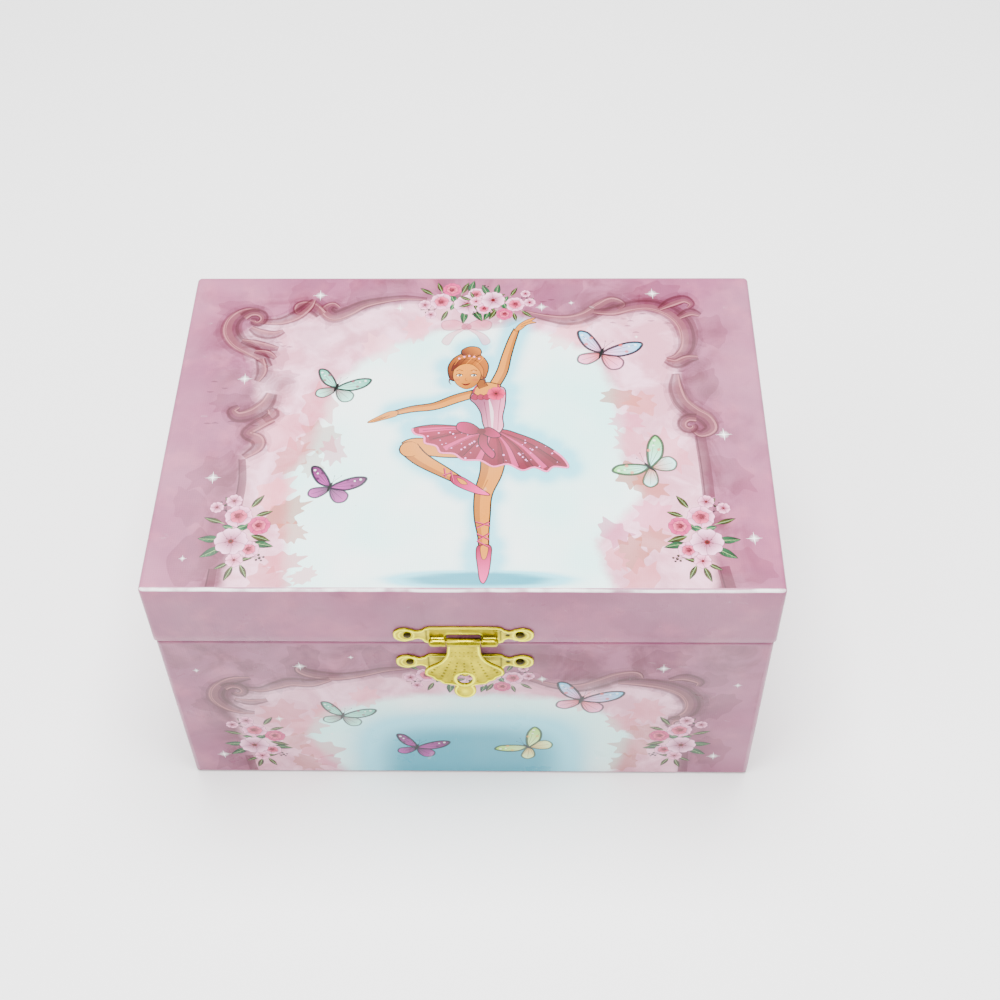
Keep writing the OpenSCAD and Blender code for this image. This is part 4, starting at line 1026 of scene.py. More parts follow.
def shell_ring(hx, hy, inset, z):
    return ring(-hx + inset, hx - inset, -hy + inset, hy - inset, max(0.15, CORNER - inset), z)


def arc_steps(r):
    """Quarter round as (inset, rise), from the side up to the top."""
    return [(r - r * math.cos(math.pi / 2 * k / 5), r * math.sin(math.pi / 2 * k / 5)) for k in range(6)]


def shell(name, hx, hy, steps, flat, mats):
    """A wrapped shell. flat is (verts, triangles, ink, wash, gap): the printed face that closes it. gap is
    the row of quads on the front that it takes the place of, or None where it closes the open top."""
    loops = [shell_ring(hx, hy, i, z) for i, z in steps]
    verts, faces = loft(loops)
    n = len(loops[0])
    v3, tris, drawn, wash, gap = flat
    if gap is not None:
        front = set(range(CORNER_STEPS, CORNER_STEPS + NX))
        faces = [f for f in faces if not (f[0] // n == gap and f[0] % n in front)]
    o = len(verts)
    keep = len(faces)
    verts = verts + v3
    faces += [tuple(i + o for i in t) for t in tris]
    ob = mesh(name, verts, faces, mats, 0, [0] * keep + [1] * len(tris))
    me = ob.data
    a = me.attributes.new("ink", "FLOAT_COLOR", "CORNER")
    corner = np.zeros((len(me.loops), 4), np.float32)
    corner[-len(drawn):] = drawn
    a.data.foreach_set("color", corner.ravel())
    b = me.attributes.new("wash", "FLOAT_COLOR", "POINT")
    point = np.zeros((len(me.vertices), 4), np.float32)
    point[o:] = wash
    b.data.foreach_set("color", point.ravel())
    flat_face = np.zeros(len(me.polygons), bool)
    flat_face[:keep] = True
    me.polygons.foreach_set("use_smooth", flat_face)
    return ob


TOP_CENTRE = [(-40, -53), (-41, -40), (-42, -28), (-43, -18), (-38, -10), (-36, 2), (-34, 12), (-28, 20),
              (-18, 27), (-8, 32), (8, 33), (20, 31), (30, 25), (36, 15), (38, 2), (38, -14), (43, -24),
              (37, -31), (31, -38), (33, -46), (35, -53)]
TOP_FRAME = [(-56, -53), (-55, -27), (-56, -14), (-53, -3), (-55, 8), (-57, 20), (-62, 30), (-56, 36),
             (-44, 40), (-34, 38), (-24, 43), (-13, 44), (0, 44), (14, 38), (28, 37), (40, 41), (52, 40),
             (58, 32), (56, 20), (54, 10), (55, 0), (59, -8), (59, -23), (60, -53)]


def washes(v, middle, border, width):
    """The pale centre, the inside of the frame and the band of this width along the frame."""
    out = []
    for line, soft in ((middle, 26), (border, 24)):
        far = edge_distance(v, line, False)
        out.append(np.clip(0.5 + np.where(within(v, line), 1, -1) * far / soft, 0, 1))
    return out[0], out[1], np.exp(-(far / width) ** 2)


def top_fields(v):
    centre, inside, band = washes(v, TOP_CENTRE, TOP_FRAME, 8.5)
    band = np.maximum(band, np.clip((v[:, 1] - 34) / 14, 0, 1) * 0.85 * np.exp(-((v[:, 0] - 6) / 46) ** 4))
    near = np.full(len(v), 1e9)
    for i in range(0, len(HALO), 40):
        gap = v[:, None] - HALO[None, i:i + 40]
        near = np.minimum(near, np.min(np.hypot(gap[..., 0], gap[..., 1]), 1))
    halo = 0.62 * np.exp(-(near / 4.2) ** 2)
    pool = ((v[:, 0] - 4) / 21) ** 2 + ((v[:, 1] + 50) / 2.6) ** 2
    halo = np.maximum(halo, np.clip(1.15 * np.exp(-pool ** 2), 0, 1))
    return np.stack([centre, band, halo, inside], 1)


FRONT_CENTRE = [(-34, 1), (-38, 10), (-42, 20), (-36, 30), (-24, 36), (-8, 39), (12, 38), (26, 36),
                (36, 30), (42, 20), (40, 9), (38, 1)]
FRONT_FRAME = [(-59, 1), (-60, 18), (-62, 34), (-58, 41), (-44, 45), (-30, 47), (-14, 50), (0, 49),
               (16, 45), (36, 47), (52, 41), (57, 34), (56, 20), (57, 1)]


def front_fields(v):
    centre, inside, band = washes(v, FRONT_CENTRE, FRONT_FRAME, 7.5)
    band = np.maximum(band, np.clip((v[:, 1] - 44) / 8, 0, 1) * 0.8)
    glow = np.exp(-((v[:, 0] / 29) ** 4 + (np.maximum(v[:, 1] - 2, 0) / 27) ** 4))
    return np.stack([centre, band, np.clip(glow * 1.1, 0, 1), inside], 1)


VIOLET = ("#A94D9E", "#DDA3D4", "#9A4392", "#73337A")
SKY = ("#BFE6F0", "#F2DCE6", "#E9B4B0", "#33394F")


def stains(art, spots, seed, stretch):
    """Darker patches in the border."""
    for k, (x, y, r, a) in enumerate(spots):
        art.blotch(x, y, r, "#AE7488", a * 0.8, seed + k, lobes=8, stretch=stretch, rot=k * 0.7, spike=0.3)


def butterflies(art, *places):
    """Butterflies, each as (x, y, scale, turn) and its four colours."""
    for (x, y, scale, rot), *colours in places:
        butterfly(Turned(art, x, y, scale, rot), *colours)


def flowers(art, *places):
    """Sprays of flowers, each as x, y, scale, turn and whether it is mirrored."""
    for place in places:
        cluster(Turned(art, *place))


def sparkles(art, *places):
    for x, y, r in places:
        sparkle(art, x, y, r)


def top_art():
    art = Art()
    for k, (x, y, r, col, a) in enumerate((
            (-38, 6, 7, "#E7BFC6", .55), (-37, -6, 6.5, "#DDB6A9", .55), (-33, -10, 4.5, "#E6C2CE", .6),
            (-43, -12, 6, "#E2BDBB", .6), (-47, -3, 8, "#E9C6CE", .5), (-38, -15, 4, "#DDB6A9", .45),
            (-43, -30, 5.5, "#DDB9AB", .75), (-41, -36, 4.2, "#E2BDB4", .7), (-46, -24, 6, "#EFD2D6", .6),
            (-42, -45, 4.5, "#E8C3C9", .7), (-45, -51, 6, "#E5BFC4", .6), (-37, -49, 3.4, "#EBCDD2", .6),
            (39, 8, 5, "#DDB6A9", .75), (44, 6, 5, "#E7C3C0", .6), (40, 0, 4.6, "#E8C5D2", .65),
            (42, -8, 6, "#E9CBD3", .6), (41, -18, 5.2, "#DDB6A9", .8), (45, -22, 4.6, "#E0BBB0", .7),
            (50, -10, 7, "#EBCBD2", .5), (46, -31, 6, "#EBCCD8", .6), (36, -36, 4.8, "#E3BFD0", .75),
            (40, -42, 5.2, "#DDB6A9", .75), (45, -38, 4.4, "#DFBBB0", .7), (36, -44, 3.8, "#E9C9D0", .7),
            (42, -50, 6, "#E7C4C8", .65), (-24, 26, 6, "#F4E1E4", .45), (-14, 33, 5, "#F0D3D9", .5),
            (26, 31, 6, "#F2DADD", .45))):
        art.blotch(x, y, r, col, a, 100 + k, lobes=7 + k % 4, stretch=1.0 + 0.2 * (k % 3 - 1), rot=k * 0.9)
    stains(art, ((-60, 6, 5, .40), (-61, -17, 7, .35), (-64, -44, 8, .40), (-52, 24, 6, .30),
                 (-62, 40, 6, .30), (-50, 14, 5, .35), (60, 12, 6, .45), (64, 32, 6, .35),
                 (64, -17, 7, .30), (50, 46, 7, .35), (24, 48, 8, .35), (-28, 49, 8, .30),
                 (-66, -28, 6, .25), (66, -46, 7, .3), (8, 38, 7, .30), (-44, 47, 7, .25)), 300, 1.25)
    for x, y, r in ((-48, 12, 4.4), (-53, 16, 3.8), (-50, 7, 3.4), (-56, 10, 3), (58, 16, 4), (62, 10, 3.4),
                    (60, 20, 3)):
        art.soft(x, y, r, "#A6697F", 0.42)
    # straight bands below the scrolls
    for pts in ([(-55.4, -13, 1.6), (-54.6, -20, 2.0), (-54.8, -28, 2.2)],
                [(-58.4, -47, 2.0), (-58.6, -52.6, 2.2)],
                [(58.4, -5, 2.8), (59.0, -16, 3.0), (59.2, -25, 3.0)],
                [(61, -46, 3.0), (62, -52.6, 3.2)]):
        art.stroke(pts, "#B27D8F", 0.75, 3)
        art.stroke([(x - 0.9, y, 0.35) for x, y, w in pts], "#94607A", 0.6, 3)
    # scrolls: left and upper ones, then the right ones
    for side, pts in (
            (1, [(-12, 44.4, 0.5), (-18, 45, 0.9), (-24, 44, 1.2), (-29, 42.4, 1.6), (-33, 39.6, 2.2),
                 (-36.6, 38, 2.6), (-38.8, 40.2, 2.2), (-37.4, 42.2, 1.2), (-35.6, 41, 0.6)]),
            (-1, [(-40, 38.6, 1.8), (-43, 41.6, 2.4), (-46, 41.8, 1.8), (-46.4, 39.6, 1.0),
                  (-44.6, 39.2, 0.5)]),
            (1, [(-42.6, 44.4, 0.5), (-44.0, 41.6, 1.6), (-46.8, 38.2, 2.0), (-50.6, 36.0, 1.4),
                 (-55.0, 35.8, 0.9), (-59, 36.6, 0.5)]),
            (-1, [(-57, 40.4, 0.4), (-60.8, 39.4, 1.8), (-63.4, 36.2, 2.6), (-63.6, 32.0, 3.0),
                  (-61.4, 28.0, 2.8), (-57.6, 25.0, 2.4), (-54.4, 22.4, 1.6), (-52.0, 19.0, 0.7)]),
            (-1, curl(-57.6, 36.4, 3.6, 160, -300, 1.6)),
            (1, [(-58.6, 33.4, 0.7), (-55.8, 31.4, 1.6), (-52.2, 30.8, 1.4), (-49.6, 32.2, 0.6)]),
            (1, [(-60.4, 28.6, 0.6), (-57.2, 27.4, 1.5), (-53.4, 26.2, 1.4), (-50.4, 25.6, 0.5)]),
            (1, [(-56.6, 24.6, 0.5), (-53.2, 23.8, 1.2), (-50.8, 22.0, 0.4)]),
            (1, [(-54.8, 21.8, 1.2), (-53.8, 17.4, 1.4), (-54.8, 13.8, 0.7)]),
            (-1, [(-50.4, 9.4, 1.4), (-51.6, 5.6, 2.2), (-54.6, 2.4, 2.4), (-58.2, 1.4, 2.0),
                  (-60.0, 3.4, 1.3), (-58.4, 4.8, 0.6)]),
            (1, [(-51.6, 0.2, 1.0), (-49.4, 2.2, 1.8), (-50.4, 4.0, 0.8)]),
            (1, [(-49.6, 1.0, 1.8), (-53.0, -1.6, 2.0), (-55.4, -4.4, 1.6), (-52.4, -6.4, 2.0),
                 (-52.2, -9.2, 1.6), (-55.2, -12.2, 0.8)]),
            (1, [(14, 39.6, 0.5), (20, 37.4, 1.2), (26, 36.4, 2.0), (31, 38.0, 2.4), (35, 41.4, 2.6),
                 (38, 43.6, 2.0), (40.6, 42.4, 1.2), (39.4, 40.8, 0.5)]),
            (-1, [(33, 39.6, 0.8), (38, 39.8, 1.8), (43, 41.6, 2.4), (48, 42.2, 2.6), (53, 40.0, 2.8),
                  (56.4, 36.0, 3.0), (57.6, 31.0, 2.8), (57.0, 26.0, 2.2), (54.6, 22.6, 1.4),
                  (51.6, 21.6, 0.6)]),
            (-1, [(50.6, 40.6, 0.6), (53.8, 43.0, 1.8), (57.4, 44.4, 1.6), (59.4, 42.6, 0.8),
                  (58.4, 41.0, 0.4)]),
            (-1, [(55.6, 37.4, 0.8), (58.8, 39.4, 1.6), (61.4, 38.2, 0.6)]),
            (1, [(51.2, 21.4, 0.8), (54.0, 20.2, 1.8), (57.0, 21.8, 1.6), (59.8, 22.4, 0.6)]),
            (1, [(53.6, 16.4, 0.8), (53.4, 11.4, 2.0), (54.6, 6.6, 2.4), (57.4, 3.0, 2.6),
                 (60.4, 0.6, 2.4), (61.4, -2.6, 1.8), (58.8, -4.4, 1.2), (56.8, -3.0, 0.5)]),
            (1, curl(56.4, -1.6, 3.0, 60, 320, 1.5))):
        scroll(art, pts, side)
    for k in range(26):
        q = random.Random(40 + k)
        x, y = q.choice(((-48, 26), (34, 38), (44, 33), (-60, -2), (22, 46), (60, 16), (-64, 10), (46, 36)))
        dx, dy = x + q.uniform(-8, 8), y + q.uniform(-3.5, 3.5)
        art.stroke([(dx, dy, 0.1), (dx + 0.9, dy + q.uniform(-.3, .3), 0.55), (dx + 1.9, dy, 0.1)],
                   "#94607A", 0.5, 2)
    # a faint ribbon bow under the top flowers
    for s in (-1, 1):
        art.shape([(-1, 34), (-1 + 3 * s, 36.4), (-1 + 6.5 * s, 35.6), (-1 + 6 * s, 32.8),
                   (-1 + 2.6 * s, 32.6)], "#E7BCC9", 0.6, line=(0.3, "#C58FA6", 0.5))
        art.shape([(-1, 33.4), (-1 + 2.8 * s, 30.6), (-1 + 4.6 * s, 27.0), (-1 + 6.4 * s, 28.2),
                   (-1 + 4.6 * s, 31.2)], "#EBC8D2", 0.6, line=(0.3, "#C58FA6", 0.4))
    art.disc(-1, 33.8, 1.4, "#D9A3B6", 0.7)
    halo = dancer_picture(art)
    flowers(art, (-54.6, -36.6), (57.2, -36.6, 1.0, 0, True), (-3.0, 43.0, 0.92, 88), (7.6, 43.4, 0.80, -98))
    butterflies(art, ((-34, 11.4, 1.05, 0), "#A9D8CE", "#DDF0EA", "#CF8FA6", "#4F7571"),
                ((-33, -22, 1.05, 0), *VIOLET), ((34.6, 24, 1.28, 0), *SKY),
                ((45.4, -15.4, 1.2, 62), "#C2E8B8", "#E3F3F0", "#EBC3BC", "#5E8F4C"))
    sparkles(art, (-41, 46, 2.8), (-19, 41, 2.2), (-58, 14.6, 2.8), (-62, -19, 2.8), (19, 41.4, 2.4),
             (49, 46.6, 2.8), (64.4, -4.6, 3.0), (69, -37.6, 2.8), (27, 43, 1.2), (-66, -44, 1.4),
             (8, 36, 1.2), (44, 30, 1.0))
    return art, halo


def front_art():
    art = Art()
    for k, (x, y, r, col, a) in enumerate((
            (-40, 12, 6, "#E7C3C9", .6), (-42, 24, 6, "#EACAD0", .55), (-36, 31, 5, "#EBC9CD", .55),
            (-44, 5, 5, "#DDB6A9", .5), (-38, 6, 4, "#E6C2CE", .6), (-48, 30, 7, "#E6BFC6", .5),
            (-26, 38, 5, "#F0D3D9", .5), (40, 26, 5.4, "#E8C5CB", .6), (43, 14, 6, "#E2BDB7", .55),
            (41, 6, 5, "#DDB6A9", .55), (46, 32, 6, "#EBC9D0", .5), (30, 36, 5, "#F0D3D9", .5),
            (46, 22, 5, "#DFB9AE", .5), (-46, 16, 5, "#DFB9AE", .45))):
        art.blotch(x, y, r, col, a, 500 + k, lobes=7 + k % 4, stretch=1.1, rot=k * 0.8)
    stains(art, ((-64, 34, 6, .4), (-62, 8, 7, .35), (-40, 54, 7, .4), (-20, 54, 7, .4), (22, 52, 8, .4),
                 (48, 54, 7, .35), (64, 34, 6, .4), (64, 12, 7, .35), (-52, 50, 5, .3), (60, 46, 5, .3)),
           700, 1.3)
    for x, y, r in ((-54, 40, 4), (-62, 30, 3.4), (56, 30, 4), (60, 38, 3.2), (34, 44, 4)):
        art.soft(x, y, r, "#A6697F", 0.40)
    for side, pts in (
            (1, [(-14, 51.4, 0.5), (-20, 50.6, 1.0), (-26, 48.6, 1.4), (-32, 47.4, 1.8), (-38, 48.4, 2.2),
                 (-41, 50.4, 1.6), (-40, 52, 0.7)]),
            (1, [(-34, 46.2, 0.8), (-39, 44.4, 1.8), (-44, 44.8, 2.2), (-48, 43.2, 1.8), (-52, 41.4, 1.2),
                 (-56, 42.0, 0.6)]),
            (-1, [(-54, 46.6, 0.5), (-58.6, 45.4, 1.8), (-62.4, 42.0, 2.6), (-63.6, 37.6, 2.8),
                  (-61.6, 33.4, 2.2), (-58.2, 31.0, 1.2), (-55, 30.4, 0.5)]),
            (-1, curl(-58.4, 40.4, 3.4, 150, -300, 1.5)),
            (1, [(-59.4, 36.6, 0.6), (-55.4, 35.4, 1.4), (-51, 36.4, 0.6)]),
            (1, [(16, 46.4, 0.5), (22, 43.6, 1.2), (28, 42.6, 1.8), (33, 44.6, 2.4), (38, 47.6, 2.4),
                 (42, 48.6, 1.8), (43.6, 46.8, 0.8)]),
            (-1, [(38, 45.4, 0.8), (44, 45.2, 1.8), (50, 43.8, 2.4), (55, 40.8, 2.8), (57.4, 36.2, 2.8),
                  (57.0, 31.6, 2.2), (54.4, 28.8, 1.2), (51.6, 28.6, 0.5)]),
            (-1, [(50.6, 46.4, 0.5), (54.6, 47.6, 1.6), (58.4, 45.6, 1.2), (58, 43.6, 0.5)]),
            (1, curl(54.4, 25.6, 2.8, 80, 320, 1.4))):
        scroll(art, pts, side)
    for pts in ([(-59.4, 9, 2.2), (-59, 1, 2.4)], [(57, 12, 2.4), (57.4, 1, 2.6)],
                [(56.4, 27, 2.0), (56.6, 22, 2.2)]):
        art.stroke(pts, "#B27D8F", 0.7, 3)
    flowers(art, (-56.6, 16.4, 0.98), (55.4, 17.2, 0.98, 0, True), (-5.0, 47.6, 0.86, 86),
            (7.4, 47.8, 0.80, -96))
    butterflies(art, ((-32.4, 29, 1.05, 0), "#A9D8CE", "#DDF0EA", "#CFA0B0", "#4F7571"),
                ((-14, 13.4, 1.05, 0), *VIOLET), ((29, 37, 1.28, 0), *SKY),
                ((15.6, 13.8, 1.15, 62), "#D5E8A8", "#EAF3E0", "#EBD9B4", "#6E8F44"))
    sparkles(art, (-41, 52, 2.6), (49, 51.4, 2.6), (19, 46.6, 2.2), (65, 9.4, 2.8), (-66, 9.4, 2.8),
             (-49, 27.4, 2.2), (-67, 50, 1.4), (68, 44, 1.6), (-28, 56, 1.2), (8, 34, 1.0), (-36, 20, 1.0),
             (34, 8, 1.1))
    return art


side_paper = make_side_paper()
art, HALO = top_art()
top_loop = [p[:2] for p in shell_ring(LID_X, LID_Y, LID_ROUND, LID_TOP)]
v2, tris, drawn, wash = picture(art, top_loop, top_fields)
lid_steps = ([(3.25, 66.0), (3.22, 63.5), (3.0, 63.12), (2.6, LID_Z), (0.7, LID_Z), (0.25, 63.12),
              (0.0, 63.6), (0.0, 66.0), (0.02, 72.0), (0.0, 78.0)]
             + [(i, LID_TOP - LID_ROUND + h) for i, h in arc_steps(LID_ROUND)])
top_drawing = ([(x, y, LID_TOP) for x, y in v2], tris, drawn, wash, None)
lid_wrap = shell("lid_wrap_print", LID_X, LID_Y, lid_steps, top_drawing,
                 [make_side_paper("lid_paper", True), make_print("top_print")])
ride(lid_wrap, "lid", "printed_wrap", "lid_wrap")

art = front_art()
base_steps = ([(0.9, 0.42), (0.45, 0.45), (0.12, 0.62), (0.0, 1.0), (0.0, 61.6)]
              + [(i, BASE_TOP - BASE_ROUND + h) for i, h in arc_steps(BASE_ROUND)]
              + [(2.6, BASE_TOP), (3.02, 62.6), (3.22, 62.3), (3.26, 58.6)])
front_row = shell_ring(BASE_X, BASE_Y, 0.0, 1.0)[CORNER_STEPS:CORNER_STEPS + NX + 1]
front_loop = [(p[0], 1.0) for p in front_row] + [(p[0], 61.6) for p in front_row[::-1]]
v2, tris, drawn, wash = picture(art, front_loop, front_fields)
front_drawing = ([(x, -BASE_Y, z) for x, z in v2], tris, drawn, wash, 3)
base_wrap = shell("base_wrap_print", BASE_X, BASE_Y, base_steps, front_drawing,
                  [side_paper, make_print("front_print")])
ride(base_wrap, "base", "printed_wrap", "base_wrap")

# ---- Linings ---------------------------------------------------------------------------
lining = make_lining()

# The lid's tray: (half width, front, back, corner radius, height) from its rim up the slopes to the ceiling
tray = [(72.1, -50.1, 50.1, 0.5, 66.0), (72.1, -50.1, 50.1, 0.5, 64.0), (71.9, -49.9, 49.9, 0.6, 63.65),
        (71.5, -49.5, 49.5, 0.7, 63.55), (71.1, -49.1, 49.15, 0.8, 63.8)]
for k in range(1, 9):
    u = k / 8
    sag = 0.35 * math.sin(math.pi * u)
    tray.append((71.0 - 8.2 * u + sag, -49.0 + 6.4 * u - sag, 49.1 - 3.6 * u + sag, 0.8 + 0.6 * u,
                 64.1 + 14.3 * u))
tray += [(62.3, -42.1, 45.0, 1.3, 78.95), (61.5, -41.4, 44.3, 1.0, 79.15)]
tray_loops = [ring(-hx, hx, y0, y1, r, z) for hx, y0, y1, r, z in tray]
verts, faces = turned(*loft(tray_loops))
last = [p[:2] for p in tray_loops[-1]]
pts = last + [tuple(p) for p in grid_in(np.array(last), 4.0, 1.5)]
res = delaunay_2d_cdt([Vector(p) for p in pts], [], [list(range(len(last)))], 1, 1e-4, True)
cap = ([(v[0], v[1], 79.15 + 0.06 * math.sin(v[0] * 0.21) * math.sin(v[1] * 0.17)) for v in res[0]],
       [tuple(f)[::-1] for f in res[2]])
piece("lid_tray_lining", join_parts([(verts, faces), cap]), lining, "lid", "lining", "lid_liner_ceiling",
      "lid_liner_slopes")


def u_wall(hx, y0, y1, t, z0, z1):
    """A strip bent round the front and both sides, with soft corners."""
    def line(o, r, z):
        pts = [(-hx + o, y1, z)]
        for cx, a0 in ((-hx + o + r, 180), (hx - o - r, 270)):
            pts += [polar(cx, y0 + o + r, r, math.radians(a0 + 18 * k)) + (z,) for k in range(6)]
        return pts + [(hx - o, y1, z)]
    out, r = [], 1.6
    for o, z in ((0.0, z0), (0.0, z1 - 0.35), (0.12, z1 - 0.1), (0.35, z1), (t - 0.3, z1),
                 (t - 0.08, z1 - 0.12), (t, z1 - 0.4), (t, z0)):
        out.append(line(o, r, z))
    return loft(out, closed=False)


piece("compartment_lining", u_wall(71.8, -49.8, 24.9, 0.8, 3.2, 61.5), lining, "base", "lining",
      "compartment_liner")
pad_loops = [ring(-70.9 + i, 70.9 - i, -48.9 + i, 24.9 - i, 0.8, z)
             for i, z in ((0, 3.25), (0, 3.9), (0.15, 4.25), (0.5, 4.4))]
piece("compartment_floor", loft(pad_loops, cap_end=True), lining, "base", "lining", "compartment_pad")

# The music shelf: one flocked card folded down at the front, with a hole for the spring
profile = [(25.0, 3.3), (25.0, 56.9)]
profile += [polar(26.4, 57.1, 1.4, math.radians(180 - 15 * k)) for k in range(7)]
profile += [(49.7, 58.5), (49.7, 57.1), (26.5, 57.1), (26.4, 57.0), (26.4, 3.3)]
verts, faces = turned(*loft([[(x, y, z) for y, z in profile] for x in np.linspace(-71.6, 71.6, 30)],
                            cap_start=True, cap_end=True))
shelf = mesh("music_shelf", verts, faces, [lining], 50)
cut = mesh("shelf_cut", *lathe([(4.0, 50), (4.0, 66)], (0, POST_Y, 0), "z", 48), [lining], 0)
hole = shelf.modifiers.new("hole", "BOOLEAN")
hole.object, hole.operation, hole.solver = cut, "DIFFERENCE", "EXACT"
baked(shelf)
bpy.data.objects.remove(cut)
ride(shelf, "base", "lining", "shelf_top", "shelf_front")
rim = lathe([(4.05, 57.2), (3.7, 57.2), (3.66, 58.45), (3.72, 58.62), (4.0, 58.68), (4.35, 58.62),
             (4.45, 58.5), (4.05, 58.45)], (0, POST_Y, 0), "z", 48, False)
piece("spring_hole_rim", turned(*rim), lining, "base", "lining")

# ---- Mirror ----------------------------------------------------------------------------
silver = make_plastic("silvered_plastic", ("#9C9C9C", "#7E7E82"), 0.20, 0.95, grime=0.35)
MIRROR_X, MIRROR_Y, MIRROR_AT = 28.5, 37.75, 0.75  # the oval's half width, half height and middle


def oval_ring(inset, z, n=120):
    across, along = MIRROR_X - inset, MIRROR_Y - inset * 1.12
    turn = [2 * math.pi * k / n for k in range(n)]
    return [(across * math.cos(q), MIRROR_AT + along * math.sin(q), z) for q in turn]


bezel_steps = ((0.0, 79.25), (0.0, 78.5), (0.12, 78.1), (0.45, 77.93), (0.9, 77.9), (1.15, 78.0),
               (1.3, 78.22), (1.5, 78.34), (3.0, 78.34), (3.25, 78.22), (3.4, 78.04), (3.7, 77.98),
               (4.1, 78.04), (4.4, 78.25), (4.5, 78.5), (4.5, 78.75))
parts = [turned(*loft([oval_ring(i, z) for i, z in bezel_steps]))]
BEADS = 92
for k in range(BEADS):
    q = 2 * math.pi * (k + 0.5) / BEADS
    cx, cy = (MIRROR_X - 2.25) * math.cos(q), MIRROR_AT + (MIRROR_Y - 2.52) * math.sin(q)
    parts.append(lathe([(0.02, 77.93), (0.25, 77.96), (0.47, 78.07), (0.58, 78.22), (0.6, 78.40)],
                       (cx, cy, 0), "z", 8))
piece("mirror_bezel", join_parts(parts), silver, "lid", "mirror_frame", "mirror_frame", angle=60)
glass = loft([oval_ring(i, z) for i, z in ((2.6, 79.2), (2.6, 78.5), (2.75, 78.42), (3.1, 78.4))],
             cap_end=True)
piece("mirror_plate", turned(*glass), make_mirror(), "lid", "mirror_glass", "mirror_glass", angle=30)

# ---- Clasp -----------------------------------------------------------------------------
brass = make_metal("pale_brass", "#E6E294", "#D2CC78", 0.24, "#6B5A2C", 0.22, relief=True)
stud = make_metal("bright_brass", "#EFEBB0", "#DED792", 0.10, "#6B5A2C", 0.12)
nail_brass = make_metal("nail_brass", "#9A9258", "#7C7440", 0.34, "#3A3218", 0.4)
hinge_brass = make_metal("hinge_brass", "#E6DFB4", "#D0C796", 0.24, "#5A4C2C", 0.3)


def mirrored(half):
    """A whole outline from its right half."""
    return half + [(-x, y) for x, y in half[::-1] if abs(x) > 1e-6]


def ear(cx, cy, r, a0, a1, n, scallop=0.0):
    """The round end of a plate, between two angles."""
    out = []
    for k in range(n + 1):
        q = math.radians(a0 + (a1 - a0) * k / n)
        w = r + scallop * abs(math.sin(2.5 * q))
        out.append(polar(cx, cy, w, q))
    return out


def disc_points(cx, cy, r):
    return [polar(cx, cy, r, 2 * math.pi * k / 28) for k in range(28)]


def bead(d, at, width, height):
    """A raised line where the distance d is near at."""
    return height * np.exp(-((d - at) / width) ** 2)


def plate_relief(mid):
    """The clasp plates' pressing: a bead along the edge, a cup round each nail and a crease beside it."""
    def height(v, d):
        h = bead(d, 0.42, 0.26, 0.17)
        for s in (-1, 1):
            r = np.hypot(v[:, 0] - s * 13.7, v[:, 1] - mid)
            h = np.maximum(h, bead(r, 1.8, 0.30, 0.15)) - 0.13 * np.exp(-(r / 1.25) ** 2)
            q = np.hypot(v[:, 0] - s * 10.6, v[:, 1] - mid)
            h -= 0.12 * np.exp(-(q / 0.6) ** 2)
            h -= 0.06 * np.exp(-((np.abs(v[:, 0]) - 8.9) / 0.35) ** 2) * (np.abs(v[:, 1] - mid) < 2.2)
        return h
    return height


def clasp_plate(name, mid, down, holes, y, body, node):
    """A brass plate with an ear at each end; its middle is mid high and it reaches down below that."""
    up = 3.2
    half = [(0, mid + up), (4.2, mid + up), (8.2, mid + up - 0.05), (9.3, mid + up - 0.45),
            (9.8, mid + up - 1.1), (10.2, mid + 1.9), (10.9, mid + 1.55), (11.7, mid + 1.75),
            (12.4, mid + 2.25)]
    half += ear(14.3, mid, 2.62, 122, -122, 18, 0.08)
    half += [(12.3, mid - 2.2), (11.6, mid - 1.7), (10.8, mid - 1.5), (10.0, mid - 1.9), (9.5, mid - 2.9),
             (8.6, mid - down + 0.15), (7.8, mid - down), (4.0, mid - down), (0, mid - down)]
    ob = plate(name, mirrored(half), holes, SHEET, plate_relief(mid), lambda u, v, h: (u, y - h, v),
               [brass], 0.28, 0.10)
    ride(ob, body, "brass", node)


window = [(-4.1, 64.0), (4.1, 64.0), (4.1, 66.8), (3.7, 67.2), (-3.7, 67.2), (-4.1, 66.8)]
clasp_plate("clasp_upper_plate", CLASP_TOP, 3.5, [window], -LID_Y, "lid", "clasp_lid_plate")
parts = []
for s in (-1, 1):
    prof = [(0.5, 4.25), (0.92, 4.25), (1.08, 4.45), (1.1, 4.9), (0.98, 5.5), (1.08, 6.1), (1.1, 7.2),
            (1.0, 7.9), (0.7, 8.25), (0.3, 8.4), (0.02, 8.42)]
    loop = lathe([(r, x * s) for r, x in prof], (0, HASP_Y, HASP_Z), "x", 28)
    strap = [(-53.9, 64.5), (-54.6, 64.5), (-55.0, 64.9), (-55.0, 66.1), (-54.6, 66.5), (-53.9, 66.5)]
    strap = loft([[(x * s, y, z) for y, z in strap] for x in (4.6, 5.0, 7.4, 7.8)],
                 cap_start=True, cap_end=True)
    parts += [turned(*loop), strap] if s < 0 else [loop, turned(*strap)]
loops_ob = mesh("clasp_loops", *join_parts(parts), [brass], 50)
ride(bevelled(loops_ob, 0.12), "lid", "brass")
pin = lathe([(0.02, -8.2), (0.43, -8.2), (0.45, -8.0), (0.45, 8.0), (0.43, 8.2), (0.02, 8.2)],
            (0, HASP_Y, HASP_Z), "x", 20)
piece("clasp_hinge_pin", pin, hinge_brass, "lid", "brass", "clasp_pin")
clasp_plate("clasp_lower_plate", CLASP_LOW, 4.0, [], -BASE_Y, "base", "clasp_base_plate")


